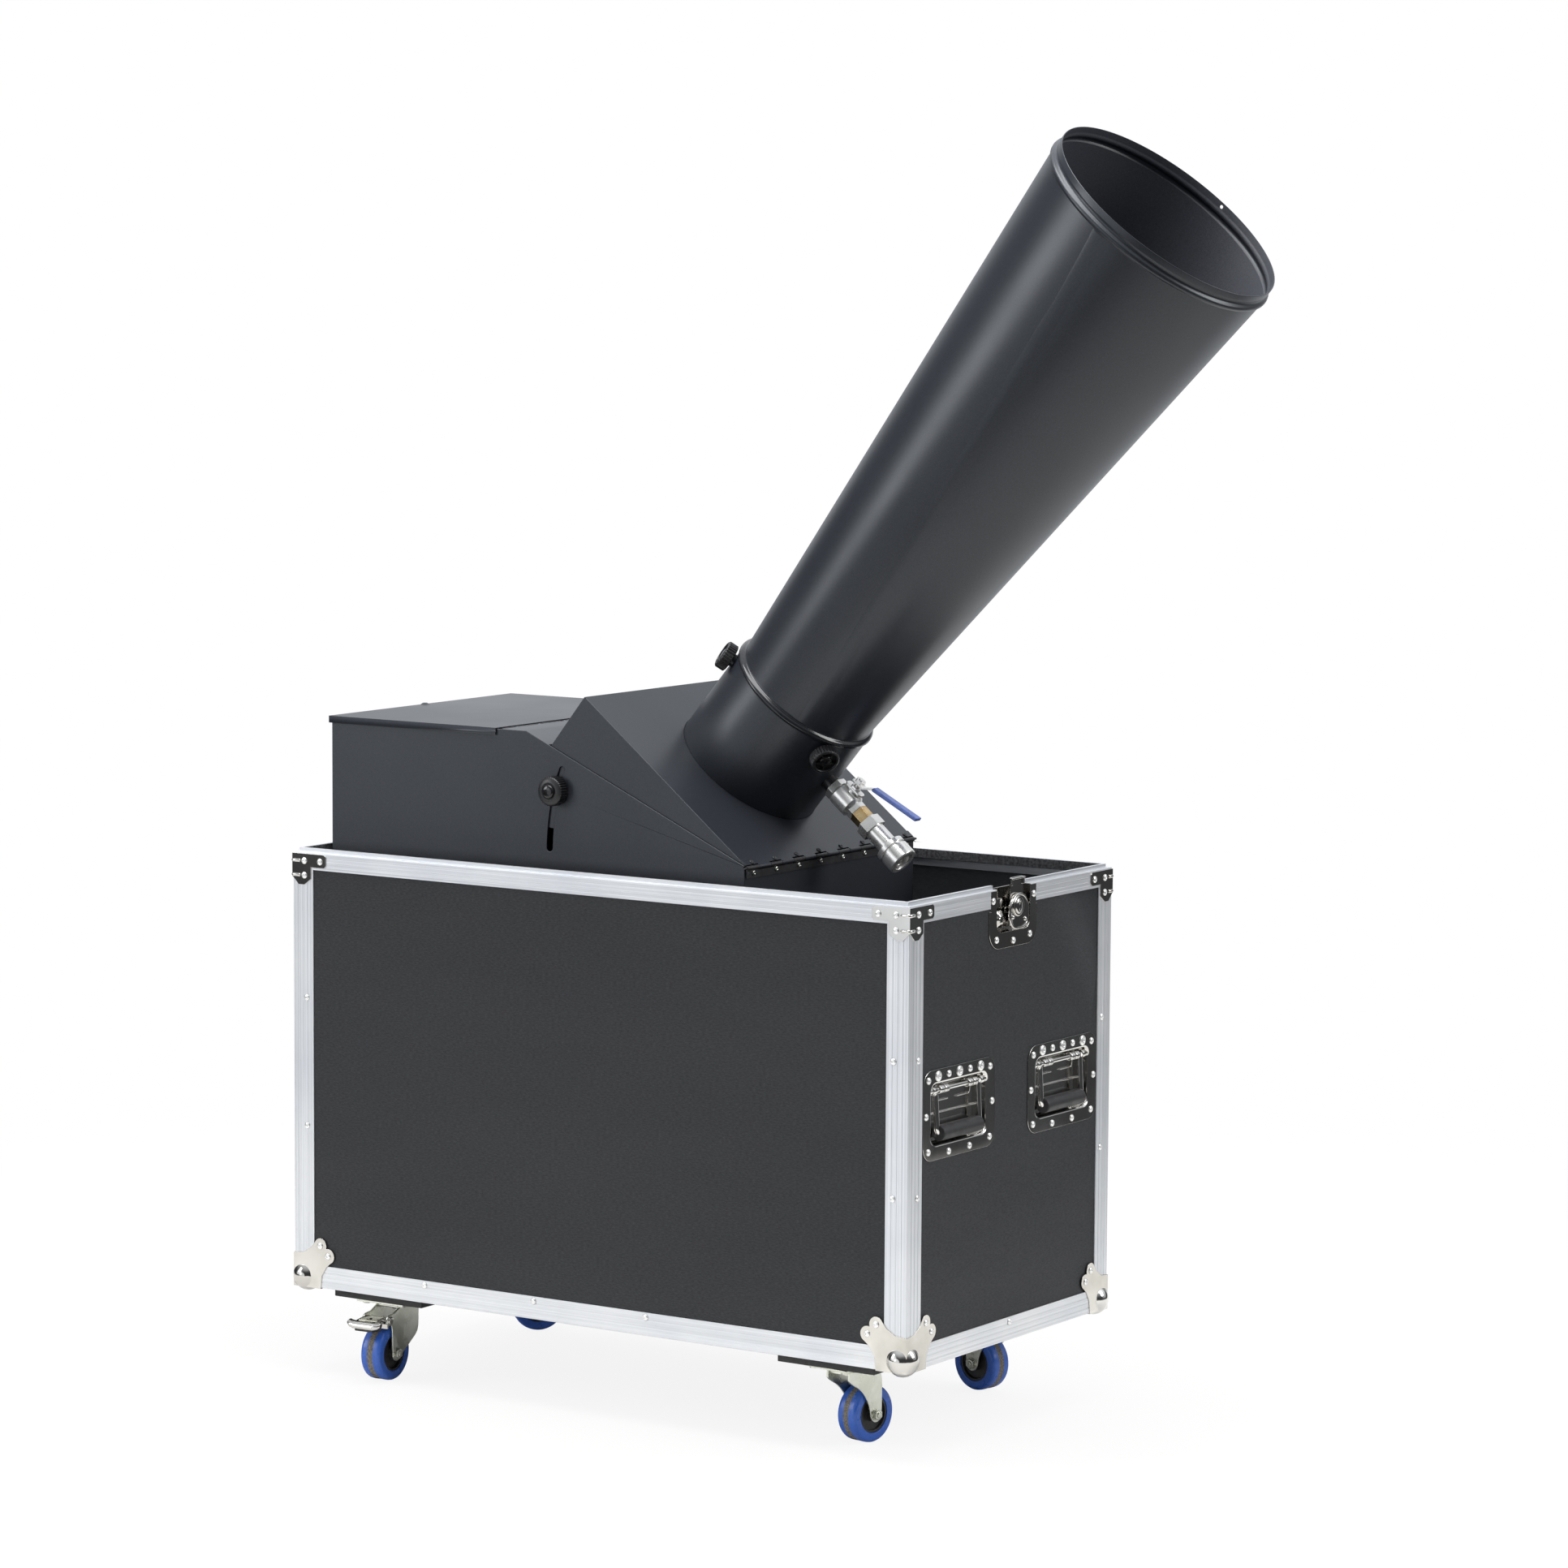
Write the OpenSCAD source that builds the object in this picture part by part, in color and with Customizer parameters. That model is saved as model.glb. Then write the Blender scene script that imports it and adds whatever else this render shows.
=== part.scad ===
// Confetti blower on a wheeled road case.
// A hopper housing stands in an open case. Its front end is a tilting head that carries
// a round collar, a gas valve with a quick coupler, and a long conical barrel.
// Origin: the floor under the centre of the case. +X is the way the barrel points,
// -Y is the long side that faces the viewer, +Z is up. Millimetres.

/* [Case] */
// Length of the case
case_l = 1000; // [960:10:1060]
// Depth of the case
case_w = 510; // [500:5:560]
// Height of the case from its underside to its rim
case_h = 604; // [590:2:625]
// Thickness of the laminated plywood panels
panel_t = 7; // [6:0.5:9]
// Thickness of the aluminium extrusions
angle_t = 1.5; // [1.2:0.1:2]
// Width of the upright corner angles on each face
angle_leg = 34; // [28:1:38]
// Height of the bottom angles on each face
rail_leg = 31; // [27:1:34]
// Height of the rim profile's outer leg
rim_leg = 24; // [21:1:27]
// Height of the rim profile's inner leg
rim_inner_leg = 18; // [14:1:22]
// Height of the tongue that locates the lid of the case
tongue_h = 5; // [3:0.5:8]
// Thickness of the tongue
tongue_t = 4; // [3:0.5:5]
// Thickness of the foam band inside the rim
foam_t = 2.5; // [1.5:0.5:4]
// Height of the foam band
foam_h = 13; // [10:1:16]

/* [Corners and rivets] */
// Thickness of the pressed steel corner plates
press_t = 1.2; // [1:0.1:1.6]
// Radius of the ball on each bottom corner
ball_r = 21.5; // [18:0.5:24]
// How far each ball stands out of the case faces
ball_out = 8; // [5:0.5:10]
// Length of the arms of a top corner brace
brace_arm = 57; // [52:1:64]
// Height of the arms of a top corner brace
brace_h = 18.5; // [17:0.5:20]
// Length of the leg of a top corner brace
brace_drop = 43; // [40:1:50]
// Width of the leg of a top corner brace
brace_leg = 31; // [28:1:34]
// Radius of a rivet head
rivet_r = 4.7; // [3.5:0.1:5]

/* [Recessed handles] */
// Length of the dish flange
dish_l = 177; // [165:1:185]
// Height of the dish flange
dish_h = 118; // [112:1:124]
// Corner radius of the dish flange
dish_r = 20; // [12:1:26]
// Length of the pan
pan_l = 139; // [130:1:145]
// Height of the pan
pan_h = 82; // [76:1:86]
// Depth of the pan behind the outer face
pan_depth = 14; // [12:0.5:18]
// Distance from the case's side to the middle of the nearest dish
dish_in = 124.5; // [120:0.5:131]
// Height of the dishes above the underside of the case
dish_z = 327; // [200:1:400]
// Diameter of the bail wire
bail_d = 8; // [7:0.5:9]
// Distance from the bail's pivot to the middle of the grip
bail_reach = 56; // [50:1:58]
// Diameter of the rubber grip
grip_d = 21; // [18:0.5:22]
// Length of the rubber grip
grip_l = 98; // [80:1:104]

/* [Latches] */
// Width of the latch pocket
pocket_w = 86; // [80:1:92]
// Depth of the latch pocket below the rim
pocket_h = 59; // [55:1:62]
// Width of the hook plate
hook_w = 32; // [26:1:36]
// How far the hook stands above the rim
hook_rise = 11; // [9:0.5:14]
// Sideways place of the hook and the turning key
hook_y = 11; // [6:1:12]
// How far the hook is drawn down by the key
hook_pull = 12; // [8:0.5:13]

/* [Casters] */
// Height of a caster from the floor to its board
caster_h = 110; // [106:1:120]
// Radius of a wheel
wheel_r = 38; // [34:0.5:40]
// Width of a wheel
wheel_w = 32; // [28:0.5:34]
// Radius of the black core inside the tread
core_r = 25; // [20:0.5:28]
// Distance that a wheel trails its swivel axis
trail = 33; // [28:0.5:36]
// Radius of the wheel's axle
axle_r = 4; // [3:0.5:5]
// Radius of the swivel pin
kingpin_r = 6; // [5:0.5:7]
// Distance of the swivel axes from the ends of the case
caster_in_x = 130; // [120:5:150]
// Distance of the swivel axes from the sides of the case
caster_in_y = 65; // [60:5:80]
// Distance of the caster boards' ends from the sides of the case
board_in = 15; // [10:1:20]
// Width of a caster board
board_w = 150; // [140:2:160]
// Thickness of a caster board
board_t = 12; // [9:1:18]

/* [Housing] */
// Gap between the rear of the housing and the end wall
house_gap = 20; // [12:1:30]
// Length of the housing
house_l = 684; // [660:2:700]
// Width of the housing
house_w = 414; // [400:2:424]
// Height of the housing above the deck
house_h = 778.5; // [765:0.5:790]
// Thickness of the painted steel sheet
sheet_t = 2; // [1.5:0.25:2.5]
// Length of the flat roof strip ahead of the lid
roof_strip = 41; // [36:1:48]
// Height of the head's hinge axis above the deck
hinge_h = 618.5; // [612:0.5:624]
// Radius of the head's hinge knuckle
knuckle_r = 3; // [2.5:0.25:3.5]
// Radius of the head's hinge pin
pin_r = 1.5; // [1:0.25:1.75]
// Depth of the turned-down lip of the hopper lid
lid_lip = 8; // [6:0.5:12]
// Thickness of the hopper lid's sheet
lid_t = 1.5; // [1:0.25:2]

/* [Tilting head] */
// Slope of the head's top plate at rest
head_slope = 38.7; // [36:0.1:40]
// Length of the top plate from the hinge to the ridge
plate_l = 335.6; // [330:0.2:338]
// Radius of the curved rear plate round the hinge
sweep_r = 346; // [344.5:0.5:347]
// Angle that the head's side plates reach down from the top plate
cheek_deg = 33; // [31:0.5:36]
// How far the head can tilt down from rest
tilt_down = 14; // [10:0.5:14.5]
// How far the head can tilt up from rest
tilt_up = 5; // [3:0.5:5.5]
// Distance of the tilt knobs from the hinge
knob_reach = 316.2; // [310:0.2:320]
// Angle of the tilt knobs below the top plate
knob_drop = 23.5; // [22:0.1:24.5]
// Width of the tilt slot
slot_w = 9.5; // [9:0.1:11]
// Diameter of a tilt knob
tilt_knob_d = 40; // [34:1:46]
// Height of a tilt knob
tilt_knob_h = 20; // [16:1:26]
// Radius of every knob's screw
screw_r = 4; // [3:0.25:4.25]

/* [Collar and barrel] */
// Distance of the collar's centre from the hinge along the plate
collar_up = 171; // [165:1:176]
// Forward lean of the collar from square to the plate
collar_lean = 1.6; // [0:0.1:3]
// Outer radius of the collar
collar_r = 104; // [98:0.5:108]
// Height of the collar
collar_h = 134.6; // [128:0.2:145]
// Wall of the collar
collar_t = 2; // [1.5:0.25:3]
// Depth of the barrel's spigot inside the collar
spigot_l = 38; // [30:1:40]
// Gap between the spigot and the collar
spigot_gap = 0.3; // [0.25:0.05:0.6]
// Height of the bead that rests on the collar
bead_h = 10; // [8:0.5:14]
// Outer radius of the cone at its lower end
cone_r0 = 100.6; // [96:0.2:102]
// Outer radius of the cone at its upper end
cone_r1 = 165.4; // [140:0.2:180]
// Length of the cone
cone_l = 814; // [600:2:900]
// Wall of the barrel
cone_t = 1.5; // [1:0.25:2]
// Length of the rolled bead, groove and lip at the mouth
lip_l = 25; // [22:1:32]
// Diameter of a collar knob
collar_knob_d = 39; // [32:1:42]
// Height of a collar knob
collar_knob_h = 15; // [12:1:20]
// Height of the collar knobs on the collar
collar_knob_z = 119; // [112:1:122]

/* [Gas valve and coupler] */
// Height of the gas line above the top plate
gas_z = 74; // [68:1:78]
// Radius of the black stub pipe
stub_r = 12; // [10:0.5:13]
// Length of the stub pipe outside the collar
stub_l = 11; // [8:1:20]
// Radius of the gas passage
gas_r = 7; // [5:0.25:7.5]
// Length of the ball valve's body
valve_l = 50; // [46:1:60]
// Radius of the ball valve's body
valve_r = 17; // [15.5:0.5:19]
// Radius of the valve's stem
stem_r = 4; // [3:0.25:4.5]
// Height of the valve's stem above the pipe axis
stem_h = 38; // [36:1:44]
// Length of the lever from its stem
lever_l = 98; // [80:1:110]
// Width of the lever's blue sleeve
lever_w = 12; // [10:0.5:16]
// Length of the brass nipple that shows
nipple_l = 19; // [14:1:26]
// Length of the coupler's body
coupler_l = 76; // [72:1:84]
// Radius of the coupler's barrel
coupler_r = 13.5; // [13:0.25:14.5]
// Radius of the coupler's sliding sleeve
sleeve_r = 20.5; // [19:0.5:23]
// Length of the coupler's sliding sleeve
sleeve_l = 30; // [26:1:34]
// Radius of the coupler's socket
socket_r = 10; // [9:0.25:10.5]
// Depth of the coupler's wider mouth, ahead of the locking balls
mouth_deep = 4.2; // [3:0.1:4.2]
// How much wider than the socket the mouth is, on the radius
mouth_step = 0.5; // [0.3:0.1:0.8]

/* [Hidden] */
$fn = 64;

// Running clearance between a turning or sliding pair, and the gap between faces that pass
fit = 0.05;
gap = 0.3;
// Length past a face that a cut reaches
cut = 1;
// Gap left between separate extrusions where they meet
seam = 0.1;

// Case levels and walls
wall_t = panel_t + 2 * angle_t;
case_z = caster_h + board_t;
deck_z = case_z + angle_t + panel_t;
rim_z = case_z + case_h;
inner_l = case_l - 2 * wall_t;
mitre = 60;

// Groove lines on the extrusions
groove_w = 1.2;
groove_d = 0.4;

// Ball corner wing plates
wing = 46;
wing_lobe_r = 10.5;
wing_lobe = [wing - 0.5, wing + 13];

// Rivet layout
angle_rivet_in = 23;
angle_rivet_z = [225, 403];
rail_rivet_pitch = 183.5;
rail_rivet_z = 24.5;
brace_rivets = [[20, -12], [47, -12], [20, -32]];
dish_rivets = [[-75.5, 46.5], [75.5, 46.5], [-75.5, -46.5], [75.5, -46.5], [-81, 0], [81, 0],
               [-25.5, -51.5], [25.5, -51.5], [-26, 50], [26, 50]];
dish_spring_rivets = [[-52, 50], [0, 50], [52, 50]];
latch_rivets = [[-51, -14.5], [51, -14.5], [-42, -66.5], [42, -66.5], [0, -71]];
rivet_sink = 0.9;

// Recessed handles, in the dish frame: x along the case end, y up, z out of the case
dish_y = case_w / 2 - dish_in;
pan_r = 12;
bail_pivot_y = pan_h / 2 - 10;
bail_pivot_z = -bail_d / 2 - 1;
bail_out = press_t - pan_depth + grip_d / 2 + 0.5 - bail_pivot_z;
bail_half = pan_l / 2 - press_t;
bail_arm_x = 56;
bail_bend = 0.4;

// Latches, in the latch frame: x along the case end, y up from the rim, z out of the case
latch_flange_w = 114;
latch_lower_w = 120;
latch_step = 28;
latch_bottom = 79;
latch_bottom_r = 24;
pocket_r = 14;
pocket_floor = press_t - pan_depth;
hook_t = 2;
hook_end_r = 11.5;
hook_lift = 8.8;
key_y = -33;
key_cup_r = 24;
key_cup_t = 4;
key_post_r = 4;
boss_x = -27;
boss_y = -41;
boss_r = 11;

// Casters, in the caster frame: swivel axis at the origin, z up from the board's underside,
// x along the trail
caster_x = case_l / 2 - caster_in_x;
caster_y = case_w / 2 - caster_in_y;
board_l = case_w - 2 * board_in;
caster_plate_size = [92, 76];
caster_plate_t = 3;
race_h = 5.5;
race_r = 27;
fork_t = 3;
fork_top_z = -(caster_plate_t + race_h);
axle_z = wheel_r - caster_h;
fork_in = wheel_w / 2 + 2.5;
crown_r = 26;
caster_spots = [[-1, -1, -86.5], [1, -1, 80], [1, 1, 168], [-1, 1, 225]];
pedal_x = trail + 17;
pedal_z = fork_top_z - 15;
pedal_pin_r = 3;
pedal_l = 40;
pedal_pad = norm([pedal_x - trail, pedal_z - axle_z]) - wheel_r - gap;

// Housing
house_x0 = -inner_l / 2 + house_gap;
house_x1 = house_x0 + house_l;
house_z = deck_z + house_h;
hinge_t = 1.5;
hinge_x = house_x1 + hinge_t;
hinge_z = deck_z + hinge_h;
lid_gap = 8;
lid_over = 1.5;
lid_hinge_r = 2.8;
sheet_edge_r = sweep_r + 3.5;
strip_land = 6;
strip_x1 = hinge_x - sheet_edge_r - strip_land;
strip_x0 = strip_x1 - roof_strip;
lid_x1 = strip_x0 - lid_gap;
lid_x0 = house_x0 - lid_over - lid_t;
lid_axis_x = strip_x0 - lid_gap / 2;
lid_axis_drop = 2.5;
lid_axis_z = house_z - lid_axis_drop;
slope_z = hinge_z + 3;
head_w = house_w - 2 * sheet_t - 1;
foot_w = 25;
chute_back_z = 600;
chute_low_z = 400;
chute_low_x = -100;
chute_t = 2;
hinge_screw_pitch = 53.7;
hinge_screws = 8;
leaf_w = 14;
knuckle_space = 0.6;
head_knuckles = 15;
head_hinge_l = house_w - 2 * sheet_t - 1;
lid_knuckles = 15;
lid_hinge_l = house_w - 2 * sheet_t - 10;
lid_leaf_t = 1;
lid_leaf_w = 18;
lid_pin_r = pin_r - 0.3;

// Head
plate_lift = 1.4;
head_gap = 4;
knob_deg = head_slope - knob_drop;

// Collar and barrel
collar_sink = 6;
bead_r = collar_r + 2;
spigot_r = collar_r - collar_t - spigot_gap;
knob_boss_r = 9;
knob_boss = 4;
collar_knob_degs = [332, 212, 92];

// Gas line along the collar's downhill side
valve_x0 = collar_r + stub_l;
valve_x1 = valve_x0 + valve_l;
valve_mid = valve_x0 + valve_l / 2 + 1;
nipple_x1 = valve_x1 + nipple_l;
coupler_x1 = nipple_x1 + coupler_l;
thread_l = 10;
thread_r = 8.5;
elbow_r = 13;
valve_ball_r = 12;
coupler_hex = 31.6;
nipple_hex = 23.5;
lock_ball_r = 2.5;
lever_t = 2.5;
lever_z = stem_h - 6 - lever_t;
lever_root = 10;
lever_bend = 22;
lever_mid_z = lever_z + 11;
lever_end_z = lever_z + 28;

module flat_rounded(w, h, r) {
    square([w - 2 * r, h], center = true);
    square([w, h - 2 * r], center = true);
    for (x = [-1, 1], y = [-1, 1]) translate([x * (w / 2 - r), y * (h / 2 - r)]) circle(r);
}

module hexagon(af) {
    circle(r = af / 2 / cos(30), $fn = 6);
}

// Extrudes an XZ outline across Y, centred
module across(w) {
    translate([0, w / 2, 0]) rotate([90, 0, 0]) linear_extrude(w) children();
}

// Repeats the front right corner at all four corners
module four_corners() {
    for (sx = [0, 1], sy = [0, 1]) mirror([sx, 0, 0]) mirror([0, sy, 0]) children();
}

// Places something on the front face and on the back face
module front_and_back(x, z, lift = 0) {
    for (sy = [0, 1]) mirror([0, sy, 0])
        translate([x, -case_w / 2 - lift, case_z + z]) rotate([90, 0, 0]) children();
}

// Places something on both end faces, in a frame with x across, y up and z outwards
module both_ends(y, z, lift = 0) {
    for (sx = [0, 1]) mirror([sx, 0, 0])
        translate([case_l / 2 + lift, y, case_z + z]) rotate([90, 0, 90]) children();
}

// One mitred bar of an outline along the front face, in a frame of its own length and distance
module edge_bar(len, dist) {
    intersection() {
        translate([-len / 2, -dist / 2, 0]) rotate([90, 0, 90]) linear_extrude(len) children();
        linear_extrude(rim_z + 2 * tongue_h) polygon([
            [seam - len / 2, -dist / 2], [len / 2 - seam, -dist / 2],
            [len / 2 - seam - mitre, mitre - dist / 2], [mitre + seam - len / 2, mitre - dist / 2]]);
    }
}

module grooves(at) {
    for (z = at) translate([-cut, z - groove_w / 2]) square([groove_d + cut, groove_w]);
}

// Case
module side_panels() {
    color("dimgray") for (s = [-1, 1])
        translate([0, s * (case_w / 2 - angle_t - panel_t / 2), (case_z + rim_z) / 2])
            cube([case_l - 2 * angle_t, panel_t, case_h - 2 * angle_t], center = true);
}

module end_panels() {
    color("dimgray") difference() {
        for (s = [-1, 1])
            translate([s * (case_l / 2 - angle_t - panel_t / 2), 0, (case_z + rim_z) / 2])
                cube([panel_t, case_w - 2 * angle_t - 2 * panel_t, case_h - 2 * angle_t],
                     center = true);
        for (y = [-dish_y, dish_y])
            translate([0, y, case_z + dish_z])
                cube([case_l + cut, pan_l + cut, pan_h + cut], center = true);
        translate([0, 0, rim_z])
            cube([case_l + cut, pocket_w + cut, 2 * pocket_h + cut], center = true);
    }
}

module floor_panel() {
    color("dimgray") translate([0, 0, deck_z - panel_t / 2])
        cube([inner_l + 2 * angle_t, case_w - 2 * wall_t + 2 * angle_t, panel_t], center = true);
}

module rim_section() {
    translate([0, rim_z]) difference() {
        union() {
            translate([0, -rim_leg]) square([angle_t, rim_leg]);
            translate([0, -angle_t]) square([wall_t, angle_t]);
            translate([wall_t - angle_t, -rim_inner_leg]) square([angle_t, rim_inner_leg]);
            translate([wall_t - tongue_t, -angle_t]) square([tongue_t, angle_t + tongue_h]);
        }
        grooves([-7, -14, -19]);
    }
}

module latch_notch() {
    translate([0, 0, rim_z])
        cube([case_l + cut, pocket_w + cut, 2 * pocket_h], center = true);
}

module rim_profiles() {
    color("gainsboro") {
        for (a = [0, 180]) rotate([0, 0, a]) edge_bar(case_l, case_w) rim_section();
        difference() {
            for (a = [90, 270]) rotate([0, 0, a]) edge_bar(case_w, case_l) rim_section();
            latch_notch();
            for (s = [-1, 1]) translate([s * case_l / 2, 0, rim_z - angle_t - rim_leg])
                cube([2 * angle_t, latch_flange_w + 2 * seam, 2 * rim_leg], center = true);
        }
    }
}

module corner_section() {
    difference() {
        union() {
            translate([case_l / 2 - angle_leg, -case_w / 2]) square([angle_leg, angle_t]);
            translate([case_l / 2 - angle_t, -case_w / 2]) square([angle_t, angle_leg]);
        }
        for (a = [9, 17, 25]) {
            translate([case_l / 2 - a, -case_w / 2 - cut]) square([groove_w, cut + groove_d]);
            translate([case_l / 2 - groove_d, a - case_w / 2]) square([cut, groove_w]);
        }
    }
}

module rail_section() {
    translate([0, case_z]) difference() {
        square(rail_leg);
        translate([angle_t, angle_t]) square(rail_leg);
        grooves([8, 15, 22]);
    }
}

module corner_angles() {
    color("silver") {
        four_corners() translate([0, 0, case_z + rail_leg + seam])
            linear_extrude(case_h - rail_leg - rim_leg - 2 * seam) corner_section();
        for (a = [0, 180]) rotate([0, 0, a]) edge_bar(case_l, case_w) rail_section();
        for (a = [90, 270]) rotate([0, 0, a]) edge_bar(case_w, case_l) rail_section();
    }
}

module wing_outline() {
    polygon([[0, 0], [wing, 0], [wing + 2, 17], [wing + 10, 30], [wing + 20, 38],
             [38, wing + 20], [30, wing + 10], [17, wing + 2], [0, wing]]);
    translate(wing_lobe) circle(wing_lobe_r);
    translate([wing_lobe.y, wing_lobe.x]) circle(wing_lobe_r);
}

module ball_corners() {
    color("lightsteelblue") four_corners() {
        translate([case_l / 2, -case_w / 2, case_z]) {
            rotate([90, 0, 0]) mirror([1, 0, 0]) linear_extrude(press_t) wing_outline();
            translate([0, -press_t, 0]) cube([press_t, press_t, wing]);
            rotate([90, 0, 90]) linear_extrude(press_t) wing_outline();
            translate([-wing, -press_t, -press_t]) cube([wing + press_t, wing + press_t, press_t]);
        }
        difference() {
            translate([case_l / 2 + ball_out - ball_r, ball_r - ball_out - case_w / 2,
                       case_z + ball_r - ball_out]) sphere(ball_r);
            translate([case_l / 2 - 2 * ball_r, -case_w / 2, case_z]) cube(2 * ball_r);
        }
    }
}

module brace_outline() {
    polygon([[0, -2], [brace_arm - 3, -2], [brace_arm, -5], [brace_arm, 1 - brace_h],
             [brace_arm - 3, -2 - brace_h], [brace_leg, -2 - brace_h],
             [brace_leg, -brace_drop + 6], [brace_leg - 11, -2 - brace_drop],
             [10, -2 - brace_drop], [0, 8 - brace_drop]]);
}

module corner_braces() {
    color("lightgray") four_corners() translate([case_l / 2, -case_w / 2, rim_z]) {
        rotate([90, 0, 0]) mirror([1, 0, 0]) linear_extrude(press_t) brace_outline();
        rotate([90, 0, 90]) linear_extrude(press_t) brace_outline();
        translate([0, -press_t, 8 - brace_drop]) cube([press_t, press_t, brace_drop - 10]);
    }
}

module rivet_head(r = rivet_r) {
    rotate_extrude($fn = 24) polygon([[0, 0], [r, 0], [r - 0.4, rivet_sink], [0.6 * r, 1.7],
        [0.35 * r, 1.9], [0.28 * r, rivet_sink], [0, rivet_sink]]);
}

module case_rivets() {
    color("white") {
        for (z = angle_rivet_z) {
            for (s = [-1, 1]) {
                front_and_back(s * (case_l / 2 - angle_rivet_in), z) rivet_head();
                both_ends(s * (case_w / 2 - angle_rivet_in), z) rivet_head();
            }
        }
        for (i = [-1.5:1]) front_and_back(i * rail_rivet_pitch, rail_rivet_z) rivet_head();
        both_ends(0, rail_rivet_z) rivet_head();
        for (s = [-1, 1], p = dish_rivets)
            both_ends(s * dish_y + p.x, dish_z + p.y) rivet_head();
        for (s = [-1, 1], p = dish_spring_rivets)
            both_ends(s * dish_y + p.x, dish_z + p.y) rivet_head(1.15 * rivet_r);
        for (p = latch_rivets) both_ends(p.x, case_h + p.y) rivet_head();
        for (s = [-1, 1]) {
            for (p = [wing_lobe, [wing_lobe.y, wing_lobe.x]]) {
                front_and_back(s * (case_l / 2 - p.x), p.y, press_t) rivet_head();
                both_ends(s * (case_w / 2 - p.x), p.y, press_t) rivet_head();
            }
            for (p = brace_rivets) {
                front_and_back(s * (case_l / 2 - p.x), case_h + p.y, press_t) rivet_head();
                both_ends(s * (case_w / 2 - p.x), case_h + p.y, press_t) rivet_head();
            }
        }
    }
}

module foam_liner() {
    foam_mid = rim_z + tongue_h - foam_h / 2;
    color("black") {
        for (s = [-1, 1]) translate([0, s * (case_w / 2 - wall_t - foam_t / 2), foam_mid])
            cube([inner_l, foam_t, foam_h], center = true);
        difference() {
            for (s = [-1, 1]) translate([s * (inner_l - foam_t) / 2, 0, foam_mid])
                cube([foam_t, case_w - 2 * wall_t - 2 * foam_t, foam_h], center = true);
            latch_notch();
        }
    }
}

// Recessed handles
module dish() {
    translate([0, 0, -angle_t]) difference() {
        union() {
            linear_extrude(angle_t) flat_rounded(dish_l, dish_h, dish_r);
            translate([0, 0, angle_t - pan_depth])
                linear_extrude(pan_depth) flat_rounded(pan_l, pan_h, pan_r);
        }
        translate([0, 0, angle_t - pan_depth + press_t]) linear_extrude(pan_depth)
            flat_rounded(pan_l - 2 * press_t, pan_h - 2 * press_t, pan_r - press_t);
        translate([0, bail_pivot_y, angle_t + bail_pivot_z]) rotate([0, 90, 0])
            cylinder(h = pan_l + cut, r = bail_d / 2 + fit, center = true);
    }
}

module handle_dishes() {
    color("silver") for (y = [-dish_y, dish_y]) both_ends(y, dish_z) dish();
}

// The bail hangs from its pivot wire; the rubber grip is moulded round its lower bar
module handle() {
    arm_r = bail_d / 2;
    translate([0, bail_pivot_y, bail_pivot_z]) {
        rotate([0, 90, 0]) cylinder(h = 2 * bail_half + 2 * press_t - 2 * gap, r = arm_r, center = true);
        for (s = [-1, 1]) translate([s * (bail_arm_x - arm_r), -bail_reach, bail_out]) {
            rotate([-90 - atan(bail_out / bail_reach), 0, 0])
                cylinder(h = norm([bail_reach, bail_out]), r = arm_r - bail_bend);
            sphere(arm_r + bail_bend);
        }
        translate([0, -bail_reach, bail_out]) rotate([0, 90, 0]) {
            cylinder(h = 2 * (bail_arm_x - arm_r), r = arm_r, center = true);
            difference() {
                cylinder(h = grip_l, r = grip_d / 2, center = true);
                cylinder(h = grip_l + cut, r = arm_r + fit, center = true);
            }
        }
    }
}

module handle_at(sx, sy) {
    color("dimgray") mirror([sx, 0, 0]) translate([case_l / 2, sy * dish_y, case_z + dish_z])
        rotate([90, 0, 90]) handle();
}

module handle_right_front() { handle_at(0, -1); }
module handle_right_back() { handle_at(0, 1); }
module handle_left_front() { handle_at(1, -1); }
module handle_left_back() { handle_at(1, 1); }

// Latches
module latch_outline() {
    translate([-latch_flange_w / 2, -latch_step]) square([latch_flange_w, latch_step - angle_t]);
    translate([-latch_lower_w / 2, latch_bottom_r - latch_bottom])
        square([latch_lower_w, latch_bottom - latch_bottom_r - latch_step]);
    translate([latch_bottom_r - latch_lower_w / 2, -latch_bottom])
        square([latch_lower_w - 2 * latch_bottom_r, latch_bottom_r]);
    for (s = [-1, 1]) translate([s * (latch_lower_w / 2 - latch_bottom_r),
                                 latch_bottom_r - latch_bottom]) circle(latch_bottom_r);
}

module pocket_outline(inset, above = 0) {
    w = pocket_w - 2 * inset;
    h = pocket_h - inset;
    r = pocket_r - inset;
    translate([-w / 2, r - h]) square([w, h - r + above]);
    translate([r - w / 2, -h]) square([w - 2 * r, r]);
    for (s = [-1, 1]) translate([s * (w / 2 - r), r - h]) circle(r);
}

module latch_dish() {
    difference() {
        union() {
            translate([0, 0, -angle_t]) linear_extrude(angle_t) latch_outline();
            translate([0, 0, -pan_depth]) linear_extrude(pan_depth) pocket_outline(0);
        }
        translate([0, 0, press_t - pan_depth]) linear_extrude(pan_depth) pocket_outline(press_t, cut);
    }
    translate([boss_x, boss_y, pocket_floor]) {
        cylinder(h = 7, r = boss_r);
        translate([0, 0, 7]) cylinder(h = 4, r1 = boss_r, r2 = 0.4 * boss_r);
    }
    translate([boss_x - 9, boss_y + boss_r + 4, pocket_floor]) cube([18, 12, 5]);
}

module latch_dishes() {
    color("silver") both_ends(0, case_h) latch_dish();
}

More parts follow.
